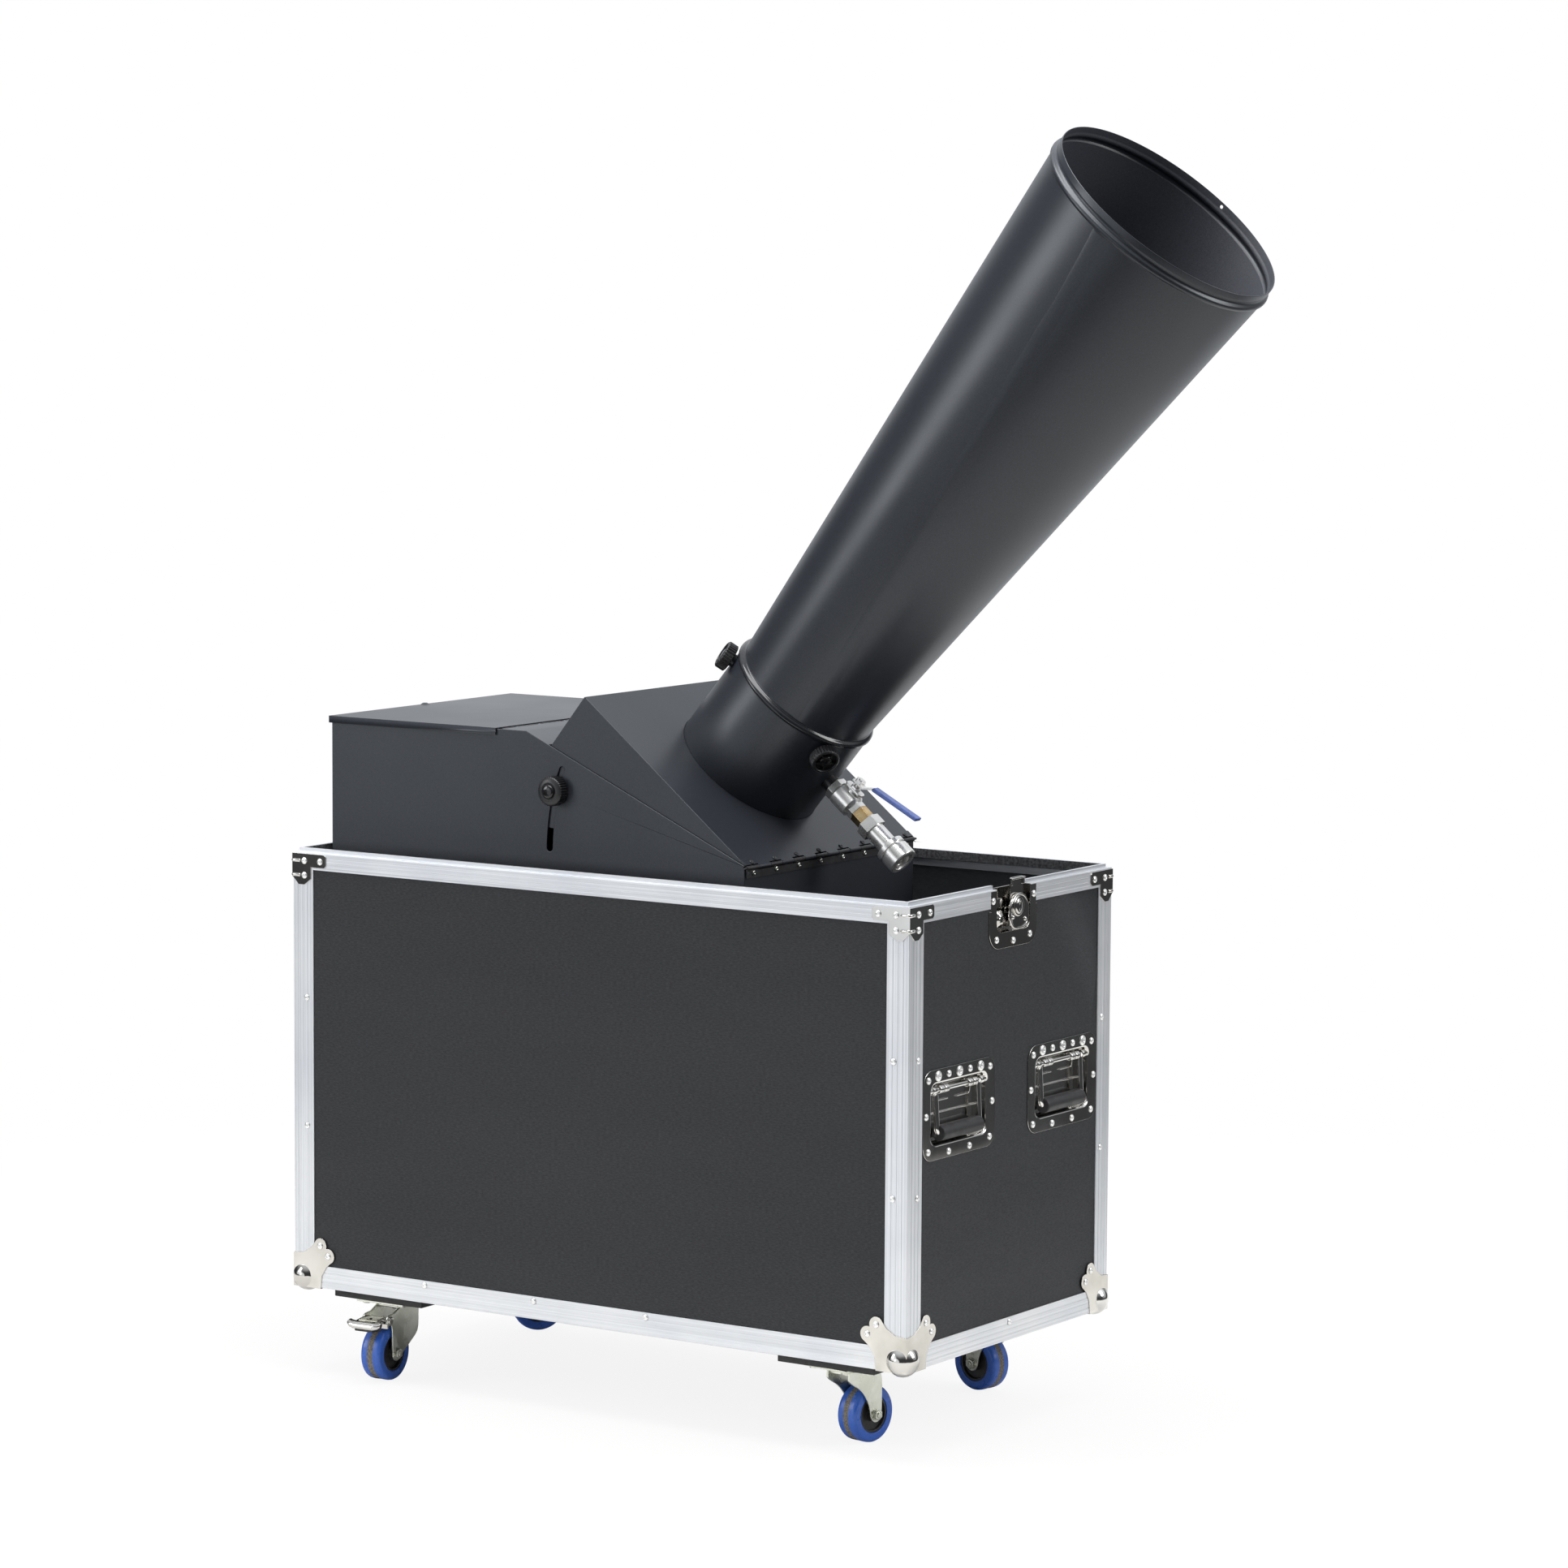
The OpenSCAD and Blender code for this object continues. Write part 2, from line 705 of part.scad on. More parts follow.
module latch_hook() {
    translate([hook_y, 0, pocket_floor + hook_lift]) {
        difference() {
            union() {
                translate([-hook_w / 2, key_y, 0]) cube([hook_w, hook_rise - key_y, hook_t]);
                translate([-hook_w / 2, hook_rise - hook_t, 0]) cube([hook_w, hook_t, 6]);
                translate([0, key_y, 0]) cylinder(h = hook_t, r = hook_end_r);
            }
            for (y = [key_y, key_y + hook_pull]) translate([0, y, -cut])
                cylinder(h = hook_t + 2 * cut, r = key_post_r + gap);
            translate([-key_post_r - gap, key_y, -cut])
                cube([2 * key_post_r + 2 * gap, hook_pull, hook_t + 2 * cut]);
        }
    }
}

module latch_key() {
    translate([hook_y, key_y, pocket_floor + gap / 2]) {
        cylinder(h = hook_lift + hook_t + 2 * gap, r = key_post_r);
        translate([0, 0, hook_lift + hook_t + gap]) {
            cylinder(h = key_cup_t, r = key_cup_r);
            translate([0, 5, key_cup_t]) linear_extrude(3.5) flat_rounded(14, 26, 6.9);
        }
    }
}

module latch_hook_right() { color("silver") latch_at(0) latch_hook(); }
module latch_hook_left() { color("silver") latch_at(1) latch_hook(); }
module latch_key_right() { color("gray") latch_at(0) latch_key(); }
module latch_key_left() { color("gray") latch_at(1) latch_key(); }

module latch_at(sx) {
    mirror([sx, 0, 0]) translate([case_l / 2, 0, rim_z]) rotate([90, 0, 90]) children();
}

// Casters
module caster_boards() {
    color("black") for (s = [-1, 1])
        translate([s * (caster_x - 3), 0, case_z - board_t / 2])
            cube([board_w, board_l, board_t], center = true);
}

module caster_at(i) {
    spot = caster_spots[i];
    translate([spot.x * caster_x, spot.y * caster_y, caster_h]) rotate([0, 0, spot.z])
        children();
}

module caster_plates() {
    color("lightgray") for (i = [0:3]) caster_at(i) {
        translate([-caster_plate_size.x / 2, -caster_plate_size.y / 2, -caster_plate_t])
            cube([caster_plate_size.x, caster_plate_size.y, caster_plate_t]);
        translate([0, 0, -caster_plate_t - 3]) cylinder(h = 3, r1 = race_r - 4, r2 = race_r);
        translate([0, 0, fork_top_z - fork_t - 4]) cylinder(h = race_h + fork_t + 4, r = kingpin_r);
        translate([0, 0, fork_top_z - fork_t - 5]) cylinder(h = 4, r = kingpin_r + 3);
        for (sx = [-1, 1], sy = [-1, 1]) translate([sx * (caster_plate_size.x / 2 - 10),
                sy * (caster_plate_size.y / 2 - 10), -caster_plate_t - 3])
            linear_extrude(3) hexagon(10);
    }
}

// One fork: crown plate, two cheeks and the axle bolt with its head and nut
module fork(braked) {
    cheek_top = fork_top_z - fork_t;
    difference() {
        union() {
            translate([0, 0, cheek_top]) cylinder(h = fork_t, r = crown_r);
            translate([0, -fork_in - fork_t, cheek_top])
                cube([crown_r - 2, 2 * fork_in + 2 * fork_t, fork_t]);
            translate([0, 0, fork_top_z]) cylinder(h = 2, r = race_r - 6);
        }
        translate([0, 0, cheek_top - cut])
            cylinder(h = fork_t + 2 + 2 * cut, r = kingpin_r + fit);
    }
    for (s = [-1, 1]) translate([0, s * (fork_in + fork_t / 2), 0]) difference() {
        across(fork_t) {
            polygon([[-crown_r + 6, cheek_top + fork_t], [crown_r, cheek_top + fork_t],
                     [pedal_x - 6, pedal_z + 6], [pedal_x + 4, pedal_z - 4],
                     [trail + 9, axle_z + 4], [trail - 9, axle_z - 4], [-crown_r + 6, cheek_top - 16]]);
            translate([trail, axle_z]) circle(10);
            translate([pedal_x, pedal_z]) circle(7);
        }
        translate([trail, 0, axle_z]) rotate([90, 0, 0])
            cylinder(h = fork_t + 2 * cut, r = axle_r + fit, center = true);
        if (braked) translate([pedal_x, 0, pedal_z]) rotate([90, 0, 0])
            cylinder(h = fork_t + 2 * cut, r = pedal_pin_r + fit, center = true);
    }
    translate([trail, 0, axle_z]) rotate([90, 0, 0]) {
        cylinder(h = 2 * fork_in + 2 * fork_t + 2, r = axle_r, center = true);
        for (s = [-1, 1]) translate([0, 0, s * (fork_in + fork_t + 2.5)])
            linear_extrude(5, center = true) hexagon(13);
    }
}

module tread() {
    edge = 5;
    translate([trail, 0, axle_z]) rotate([90, 0, 0]) rotate_extrude($fn = 96)
        polygon([[core_r, -wheel_w / 2], [wheel_r - edge, -wheel_w / 2],
                 [wheel_r - 1.5, 1.5 - wheel_w / 2], [wheel_r, edge - wheel_w / 2],
                 [wheel_r, wheel_w / 2 - edge], [wheel_r - 1.5, wheel_w / 2 - 1.5],
                 [wheel_r - edge, wheel_w / 2], [core_r, wheel_w / 2]]);
}

module core() {
    half = wheel_w / 2;
    bore = axle_r + fit;
    translate([trail, 0, axle_z]) rotate([90, 0, 0]) rotate_extrude($fn = 96)
        polygon([[bore, -half - 2], [9, -half - 2], [10, 5 - half], [core_r - 4, 5 - half],
                 [core_r - 3, 1 - half], [core_r, 1 - half], [core_r, half - 1],
                 [core_r - 3, half - 1], [core_r - 4, half - 5], [10, half - 5],
                 [9, half + 2], [bore, half + 2]]);
}

// Foot pedal with its pivot pin and the pad that reaches the tread when the pedal is down
module brake_pedal() {
    half = fork_in - gap;
    translate([pedal_x, 0, pedal_z]) {
        rotate([90, 0, 0]) cylinder(h = 2 * fork_in + 2 * fork_t + 4, r = pedal_pin_r, center = true);
        for (s = [-1, 1]) rotate([90, 0, 0]) translate([0, 0, s * (fork_in + fork_t + 1.6)])
            cylinder(h = 2.6, r = pedal_pin_r + 2.5, center = true);
        across(2 * half) polygon([[-4, 3], [6, 5], [pedal_l - 6, 1], [pedal_l, -4],
            [pedal_l - 2, -6], [pedal_l - 8, -2], [7, 1], [1.5, -pedal_pad], [-1.5, -pedal_pad],
            [-5, -3]]);
    }
}

module fork_front_left() { color("darkkhaki") caster_at(0) fork(true); }
module fork_front_right() { color("darkkhaki") caster_at(1) fork(false); }
module fork_rear_right() { color("darkkhaki") caster_at(2) fork(false); }
module fork_rear_left() { color("darkkhaki") caster_at(3) fork(true); }
module tread_front_left() { color("royalblue") caster_at(0) tread(); }
module tread_front_right() { color("royalblue") caster_at(1) tread(); }
module tread_rear_right() { color("royalblue") caster_at(2) tread(); }
module tread_rear_left() { color("royalblue") caster_at(3) tread(); }
module core_front_left() { color("black") caster_at(0) core(); }
module core_front_right() { color("black") caster_at(1) core(); }
module core_rear_right() { color("black") caster_at(2) core(); }
module core_rear_left() { color("black") caster_at(3) core(); }
module brake_pedal_front_left() { color("silver") caster_at(0) brake_pedal(); }
module brake_pedal_rear_left() { color("silver") caster_at(3) brake_pedal(); }

// Housing
module housing_outline() {
    polygon([[house_x0, deck_z], [house_x0, house_z], [strip_x1, house_z],
             [house_x1, slope_z], [house_x1, deck_z]]);
}

// The arc that a tilt knob's screw sweeps, as a cutter from side to side
module tilt_slot() {
    low = knob_deg - tilt_down - 0.3;
    high = knob_deg + tilt_up + 0.3;
    translate([hinge_x, 0, hinge_z]) {
        rotate([90, 0, 0]) rotate([0, 0, 180 - high]) rotate_extrude(angle = high - low, $fn = 128)
            translate([knob_reach - slot_w / 2, -house_w]) square([slot_w, 2 * house_w]);
        for (a = [low, high]) translate([-knob_reach * cos(a), 0, knob_reach * sin(a)])
            rotate([90, 0, 0]) cylinder(h = 2 * house_w, r = slot_w / 2, center = true);
    }
}

module housing() {
    inner_w = house_w - 2 * sheet_t;
    color("slategray") difference() {
        union() {
            for (s = [-1, 1]) translate([0, s * (house_w - sheet_t) / 2, 0])
                across(sheet_t) housing_outline();
            translate([house_x0, -inner_w / 2 - 0.5, deck_z])
                cube([sheet_t, inner_w + 1, house_h]);
            translate([house_x1 - sheet_t, -inner_w / 2 - 0.5, deck_z])
                cube([sheet_t, inner_w + 1, hinge_h - knuckle_r - 1]);
            for (s = [-1, 1])
                translate([house_x0, s * (inner_w - foot_w) / 2 - foot_w / 2, deck_z])
                    cube([house_l, foot_w, sheet_t]);
            difference() {
                across(inner_w + 1) polygon([
                    [strip_x0, house_z - sheet_t], [strip_x0, house_z], [strip_x1, house_z],
                    [house_x1, slope_z], [house_x1, slope_z - sheet_t],
                    [strip_x1, house_z - sheet_t]]);
                translate([hinge_x, 0, hinge_z]) rotate([90, 0, 0])
                    cylinder(h = inner_w, r = sheet_edge_r, center = true, $fn = 128);
            }
        }
        tilt_slot();
        head_room();
    }
}

// Clears the side plates' front tip for the hinge knuckle
module head_room() {
    translate([hinge_x, 0, hinge_z]) rotate([90, 0, 0])
        cylinder(h = house_w + 2 * cut, r = knuckle_r + gap, center = true);
}

module hopper_chute() {
    w = house_w - 2 * sheet_t - 0.2;
    back = deck_z + chute_back_z;
    low = deck_z + chute_low_z;
    x0 = house_x0 + sheet_t;
    x1 = house_x1 - sheet_t;
    color("gray") across(w) polygon([
        [x0, back + 20], [x0, back], [chute_low_x, low], [x1, low], [x1, low + 20],
        [x1 - chute_t, low + 20], [x1 - chute_t, low + chute_t], [chute_low_x, low + chute_t],
        [x0 + chute_t, back + chute_t], [x0 + chute_t, back + 20]]);
}

// Every second one of n equal knuckles over a length, first or second set
module knuckles(n, len, r, set) {
    pitch = len / n;
    for (i = [set:2:n - 1]) translate([0, (i + 0.5) * pitch - len / 2, 0]) rotate([90, 0, 0])
        cylinder(h = pitch - knuckle_space, r = r, center = true);
}

// The leaf tabs that go with one set of knuckles, from x0 over a width, from z0 up a height
module leaf_tabs(n, len, set, x0, w, z0, h) {
    pitch = len / n;
    for (i = [set:2:n - 1]) translate([x0, i * pitch + (knuckle_space - len) / 2, z0])
        cube([w, pitch - knuckle_space, h]);
}

module lid_hinge() {
    color("darkgray") translate([lid_axis_x, 0, lid_axis_z]) difference() {
        union() {
            knuckles(lid_knuckles, lid_hinge_l, lid_hinge_r, 0);
            rotate([90, 0, 0]) cylinder(h = lid_hinge_l, r = lid_pin_r, center = true);
            leaf_tabs(lid_knuckles, lid_hinge_l, 0, 0, lid_leaf_w, lid_axis_drop - sheet_t - 1.9, 1.9);
        }
        translate([lid_gap / 2 - 0.001, -house_w, lid_axis_drop - sheet_t])
            cube([2 * lid_leaf_w, 2 * house_w, 2 * sheet_t]);
    }
}

module hopper_lid() {
    over = lid_over + lid_t;
    lid_w = house_w + 2 * over;
    color("slategray") {
        difference() {
            translate([lid_x0, -lid_w / 2, house_z - lid_lip])
                cube([lid_x1 - lid_x0, lid_w, lid_lip + lid_t]);
            translate([lid_x0 + lid_t, -lid_w / 2 + lid_t, house_z - lid_lip - cut])
                cube([lid_x1 - lid_x0, lid_w - 2 * lid_t, lid_lip + cut]);
        }
        translate([lid_x0 + 6, 0, house_z + lid_t]) cylinder(h = 5, r = 7);
        translate([lid_axis_x, 0, lid_axis_z]) difference() {
            union() {
                knuckles(lid_knuckles, lid_hinge_l, lid_hinge_r, 1);
                leaf_tabs(lid_knuckles, lid_hinge_l, 1, -lid_leaf_w, lid_leaf_w,
                          lid_axis_drop - lid_leaf_t, lid_leaf_t);
            }
            rotate([90, 0, 0]) cylinder(h = house_w, r = lid_pin_r + fit, center = true);
        }
    }
}

module hinge_screw() {
    rotate_extrude($fn = 24) polygon([[0, 0], [3.6, 0], [3.2, 1.2], [1.8, 1.9], [1.2, 1.2], [0, 1.2]]);
}

// Head hinge: the lower leaf holds the pin, the upper leaf turns on it
module lower_hinge_leaf() {
    color("dimgray") translate([hinge_x, 0, hinge_z]) {
        knuckles(head_knuckles, head_hinge_l, knuckle_r, 0);
        rotate([90, 0, 0]) cylinder(h = head_hinge_l + 12, r = pin_r, center = true);
        leaf_tabs(head_knuckles, head_hinge_l, 0, -hinge_t, hinge_t, -leaf_w, leaf_w);
        leaf_tabs(1, head_hinge_l, 0, -hinge_t, hinge_t, -leaf_w, leaf_w - knuckle_r - knuckle_space);
    }
}

module hinge_screw_row() {
    for (i = [0:hinge_screws - 1])
        translate([0, (i - (hinge_screws - 1) / 2) * hinge_screw_pitch, 0]) children();
}

module lower_leaf_screws() {
    color("silver") translate([hinge_x, 0, hinge_z - leaf_w / 2]) hinge_screw_row()
        rotate([0, 90, 0]) hinge_screw();
}

// Head frame: hinge axis at the origin, x down the slope, z out of the top plate
module head_place() {
    translate([hinge_x, 0, hinge_z]) rotate([0, head_slope, 0]) children();
}

module upper_hinge_leaf() {
    color("dimgray") head_place() difference() {
        union() {
            knuckles(head_knuckles, head_hinge_l, knuckle_r, 1);
            leaf_tabs(head_knuckles, head_hinge_l, 1, -leaf_w, leaf_w, plate_lift, hinge_t);
            leaf_tabs(1, head_hinge_l, 0, -leaf_w, leaf_w - knuckle_r - knuckle_space, plate_lift,
                      hinge_t);
        }
        rotate([90, 0, 0]) cylinder(h = house_w + 40, r = pin_r + fit, center = true);
    }
}

module upper_leaf_screws() {
    color("silver") head_place() translate([-leaf_w / 2, 0, plate_lift + hinge_t])
        hinge_screw_row() hinge_screw();
}

// Outline of the head seen from the side, in the head frame, shrunk by an inset
module head_outline(inset) {
    reach = sweep_r + 10;
    far = plate_l - inset;
    intersection() {
        circle(sweep_r - inset, $fn = 128);
        polygon([[-head_gap - 1, plate_lift - inset], [-far, plate_lift - inset], [-far, -reach],
                 [-reach * cos(cheek_deg), -reach * sin(cheek_deg)],
                 [-(head_gap + 1) * cos(cheek_deg), -(head_gap + 1) * sin(cheek_deg)]]);
    }
}

module head_shell() {
    inner_w = head_w - 2 * sheet_t;
    far = 2 * sweep_r;
    color("slategray") head_place() difference() {
        across(head_w) head_outline(0);
        across(inner_w) intersection() {
            circle(sweep_r - sheet_t, $fn = 128);
            polygon([[0, plate_lift - sheet_t], [sheet_t - plate_l, plate_lift - sheet_t],
                     [sheet_t - plate_l, -far], [0, -far]]);
        }
        collar_place() translate([0, 0, -20]) cylinder(h = 40, r = collar_r + 0.1, $fn = 96);
        rotate([0, -knob_drop, 0]) translate([-knob_reach, 0, 0]) rotate([90, 0, 0])
            cylinder(h = house_w, r = screw_r + fit, center = true);
    }
}

// Knurled outline of a hand knob
module knurl(r, teeth) {
    polygon([for (i = [0:2 * teeth - 1])
        let (a = i * 180 / teeth, q = i % 2 == 0 ? r : r - 1.2) [q * cos(a), q * sin(a)]]);
}

// Hand knob with a domed cap and its screw, from its washer face up
module tilt_knob() {
    r = tilt_knob_d / 2;
    linear_extrude(tilt_knob_h - 5) knurl(r, 36);
    translate([0, 0, tilt_knob_h - 5]) cylinder(h = 3, r1 = r - 1.5, r2 = r - 5);
    translate([0, 0, tilt_knob_h - 2]) cylinder(h = 4, r1 = 9, r2 = 5);
    translate([0, 0, -sheet_t - 0.5 - sheet_t - 6 - gap]) cylinder(h = 12, r = screw_r);
}

module tilt_knob_at(side) {
    color("black") translate([hinge_x - knob_reach * cos(knob_deg), side * (house_w / 2 + gap),
                              hinge_z + knob_reach * sin(knob_deg)])
        rotate([-side * 90, 0, 0]) tilt_knob();
}

module tilt_knob_front() { tilt_knob_at(-1); }
module tilt_knob_back() { tilt_knob_at(1); }

// Collar frame: base centre on the top plate, x downhill, z along the barrel
module collar_place() {
    translate([-collar_up, 0, plate_lift]) rotate([0, collar_lean, 0]) children();
}

module collar() {
    color("slategray") head_place() collar_place() difference() {
        union() {
            translate([0, 0, -collar_sink]) cylinder(h = collar_h + collar_sink, r = collar_r, $fn = 96);
            for (a = collar_knob_degs) rotate([0, 0, a]) translate([0, 0, collar_knob_z])
                rotate([0, 90, 0]) cylinder(h = collar_r + knob_boss, r = knob_boss_r);
        }
        translate([0, 0, -collar_sink - cut])
            cylinder(h = collar_h + collar_sink + 2 * cut, r = collar_r - collar_t, $fn = 96);
        for (a = collar_knob_degs) rotate([0, 0, a]) translate([0, 0, collar_knob_z])
            rotate([0, 90, 0]) cylinder(h = 2 * collar_r, r = screw_r + fit);
        translate([0, 0, gas_z]) rotate([0, 90, 0]) cylinder(h = 2 * collar_r, r = stub_r);
    }
}

module collar_knob(i) {
    r = collar_knob_d / 2;
    face = collar_r + knob_boss + gap;
    color("black") head_place() collar_place() rotate([0, 0, collar_knob_degs[i]])
        translate([face, 0, collar_knob_z]) rotate([0, 90, 0]) {
            difference() {
                linear_extrude(collar_knob_h) knurl(r, 30);
                translate([0, 0, collar_knob_h - 3]) cylinder(h = 4, r = r - 5);
            }
            translate([0, 0, -knob_boss - collar_t - gap])
                cylinder(h = knob_boss + collar_t + gap + 5, r = screw_r);
        }
}

module collar_knob_a() { collar_knob(0); }
module collar_knob_b() { collar_knob(1); }
module collar_knob_c() { collar_knob(2); }

// Barrel: spigot, bead, cone, rolled bead and lip, one rolled and welded sheet
module barrel() {
    z0 = collar_h;
    z1 = z0 + bead_h;
    z2 = z1 + cone_l;
    z3 = z2 + lip_l;
    lip_r = cone_r1 - 0.7;
    color("slategray") head_place() collar_place() rotate_extrude($fn = 128) polygon([
        [spigot_r - cone_t, z0 - spigot_l], [spigot_r, z0 - spigot_l], [spigot_r, z0],
        [bead_r, z0], [bead_r + 0.8, z0 + 0.3 * bead_h], [bead_r - 0.4, z0 + 0.8 * bead_h],
        [cone_r0, z1], [cone_r1, z2], [cone_r1 + 2.8, z2 + 3], [cone_r1 + 2.8, z2 + 8],
        [cone_r1 - 1.8, z2 + 11], [cone_r1 - 1.8, z2 + 14], [lip_r, z2 + 17], [lip_r, z3],
        [lip_r - cone_t, z3], [lip_r - cone_t, z2 + 16], [cone_r1 - cone_t - 1.8, z2 + 12],
        [cone_r1 - cone_t, z2], [cone_r0 - cone_t, z1], [spigot_r - cone_t, z0]]);
}

// Gas line, in the collar frame, along +x at the gas height
module gas_place() {
    head_place() collar_place() translate([0, 0, gas_z]) children();
}

module along_x(x0, x1, r, r_end = -1) {
    translate([x0, 0, 0]) rotate([0, 90, 0])
        cylinder(h = x1 - x0, r1 = r, r2 = r_end < 0 ? r : r_end);
}

module hex_along_x(x0, x1, af) {
    translate([x0, 0, 0]) rotate([90, 0, 90]) linear_extrude(x1 - x0) hexagon(af);
}

// Black stub pipe through the collar wall, its elbow block and a nozzle on the barrel's axis
module gas_pipe() {
    inner_r = stub_r - 1;
    color("black") gas_place() difference() {
        union() {
            sphere(elbow_r);
            along_x(0, collar_r - collar_t, inner_r);
            along_x(collar_r - collar_t - 1, valve_x0, stub_r);
            along_x(valve_x0 - 1, valve_x0 + thread_l, thread_r);
            cylinder(h = elbow_r + 3, r = inner_r);
            translate([0, 0, elbow_r + 3]) cylinder(h = 9, r1 = inner_r, r2 = inner_r - 3);
        }
        sphere(gas_r);
        along_x(0, valve_x0 + thread_l + cut, gas_r - 1);
        cylinder(h = elbow_r + 12 + cut, r = gas_r - 1);
    }
}

module valve_body() {
    hex_end = 9;
    color("gainsboro") gas_place() difference() {
        union() {
            hex_along_x(valve_x0, valve_x0 + hex_end, 2 * valve_r - 5);
            along_x(valve_x0 + hex_end - 1, valve_x0 + hex_end + 3, valve_r - 3, valve_r);
            along_x(valve_x0 + hex_end + 3, valve_x1 - hex_end - 3, valve_r);
            along_x(valve_x1 - hex_end - 3, valve_x1 - hex_end + 1, valve_r, valve_r - 4);
            hex_along_x(valve_x1 - hex_end, valve_x1, 24);
            translate([valve_mid, 0, 0]) {
                cylinder(h = valve_r + 2.5, r = 8);
                translate([0, 0, valve_r + 2]) linear_extrude(3) flat_rounded(30, 14, 5);
                translate([0, 0, valve_r + 4]) linear_extrude(4) hexagon(13);
            }
        }
        along_x(valve_x0 - cut, valve_x0 + thread_l + 1, thread_r + fit);
        along_x(valve_x0, valve_x1, gas_r);
        along_x(valve_x1 - thread_l - 1, valve_x1 + cut, thread_r + fit);
        translate([valve_mid, 0, 0]) {
            sphere(valve_ball_r + gap);
            cylinder(h = stem_h, r = stem_r + fit);
        }
    }
}

// Ball, stem and lever nut turn together
module valve_stem() {
    nut_z = stem_h - 6;
    color("silver") gas_place() translate([valve_mid, 0, 0]) {
        difference() {
            union() {
                sphere(valve_ball_r);
                cylinder(h = stem_h, r = stem_r);
            }
            along_x(-2 * valve_ball_r, 2 * valve_ball_r, gas_r);
        }
        translate([0, 0, nut_z]) linear_extrude(4.5) hexagon(13);
    }
}

module lever_outline(x0, x1, grow) {
    slope = (lever_end_z - lever_mid_z) / (lever_l - lever_bend);
    z0 = lever_mid_z + slope * (x0 - lever_bend);
    z1 = lever_mid_z + slope * (x1 - lever_bend);
    polygon([[x0, z0 - grow], [x1, z1 - grow], [x1, z1 + lever_t + grow], [x0, z0 + lever_t + grow]]);
}

module valve_lever() {
    color("silver") gas_place() translate([valve_mid, 0, 0]) difference() {
        union() {
            across(lever_w) polygon([[-9, lever_z], [lever_root, lever_z],
                [lever_bend, lever_mid_z], [lever_bend, lever_mid_z + lever_t],
                [lever_root - 1, lever_z + lever_t], [-9, lever_z + lever_t]]);
            across(lever_w - 3) lever_outline(lever_bend - 0.5, lever_l - 3, 0);
        }
        cylinder(h = 2 * stem_h, r = stem_r);
    }
}

module lever_sleeve() {
    color("royalblue") gas_place() translate([valve_mid, 0, 0]) difference() {
        across(lever_w) lever_outline(lever_bend + 1, lever_l, 0.9);
        across(lever_w - 3) lever_outline(lever_bend - cut, lever_l - 3, 0);
    }
}

module brass_nipple() {
    color("goldenrod") gas_place() difference() {
        union() {
            along_x(valve_x1 - thread_l, nipple_x1 + thread_l, thread_r);
            hex_along_x(valve_x1, nipple_x1, nipple_hex);
        }
        along_x(valve_x1 - thread_l - cut, nipple_x1 + thread_l + cut, gas_r - 1);
    }
}

// Quick coupler: hex end, barrel, socket with a ring of locking balls
module coupler_body() {
    hex_l = 16;
    seat = coupler_x1 - 4;
    color("silver") gas_place() {
        difference() {
            union() {
                hex_along_x(nipple_x1, nipple_x1 + hex_l, coupler_hex);
                along_x(nipple_x1 + hex_l - 1, coupler_x1 - 1, coupler_r);
            }
            along_x(nipple_x1 - cut, nipple_x1 + thread_l + 1, thread_r + fit);
            along_x(nipple_x1, coupler_x1, gas_r - 1);
            along_x(coupler_x1 - sleeve_l + 4, coupler_x1 + cut, socket_r);
            along_x(coupler_x1 - 1 - mouth_deep, coupler_x1 + cut, socket_r + mouth_step);
            for (a = [0:60:300]) rotate([a, 0, 0]) translate([seat - 4, 0, 0])
                cylinder(h = 2 * coupler_r, r = lock_ball_r + 0.1);
        }
        for (a = [0:60:300]) rotate([a, 0, 0])
            translate([seat - 4, 0, coupler_r - lock_ball_r - 0.2]) sphere(lock_ball_r, $fn = 24);
    }
}

module coupler_sleeve() {
    x1 = coupler_x1;
    x0 = x1 - sleeve_l;
    color("lightgray") gas_place() difference() {
        union() {
            along_x(x0, x0 + 7, sleeve_r);
            along_x(x0 + 6, x0 + 11, sleeve_r - 2.5);
            along_x(x0 + 10, x1 - 1.5, sleeve_r);
            along_x(x1 - 1.5, x1, sleeve_r, sleeve_r - 1.5);
        }
        along_x(x0 - cut, x1 + cut, coupler_r + fit);
    }
}

side_panels();
end_panels();
floor_panel();
rim_profiles();
corner_angles();
ball_corners();
corner_braces();
case_rivets();
foam_liner();
handle_dishes();
latch_dishes();
caster_boards();
caster_plates();
housing();
hopper_chute();
lid_hinge();
lower_hinge_leaf();
lower_leaf_screws();
hopper_lid();
head_shell();
upper_hinge_leaf();
upper_leaf_screws();
collar();
gas_pipe();
valve_body();
brass_nipple();
coupler_body();
coupler_sleeve();
valve_stem();
valve_lever();
lever_sleeve();
tilt_knob_front();
tilt_knob_back();
collar_knob_a();
collar_knob_b();
collar_knob_c();
barrel();
handle_right_front();
handle_right_back();
handle_left_front();
handle_left_back();
latch_hook_right();
latch_hook_left();
latch_key_right();
latch_key_left();
fork_front_left();
fork_front_right();
fork_rear_right();
fork_rear_left();
tread_front_left();
tread_front_right();
tread_rear_right();
tread_rear_left();
core_front_left();
core_front_right();
core_rear_right();
core_rear_left();
brake_pedal_front_left();
brake_pedal_rear_left();
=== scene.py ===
"""Confetti blower on a wheeled road case: its looks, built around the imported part."""
import math

import bmesh
import bpy
from mathutils import Matrix, Vector


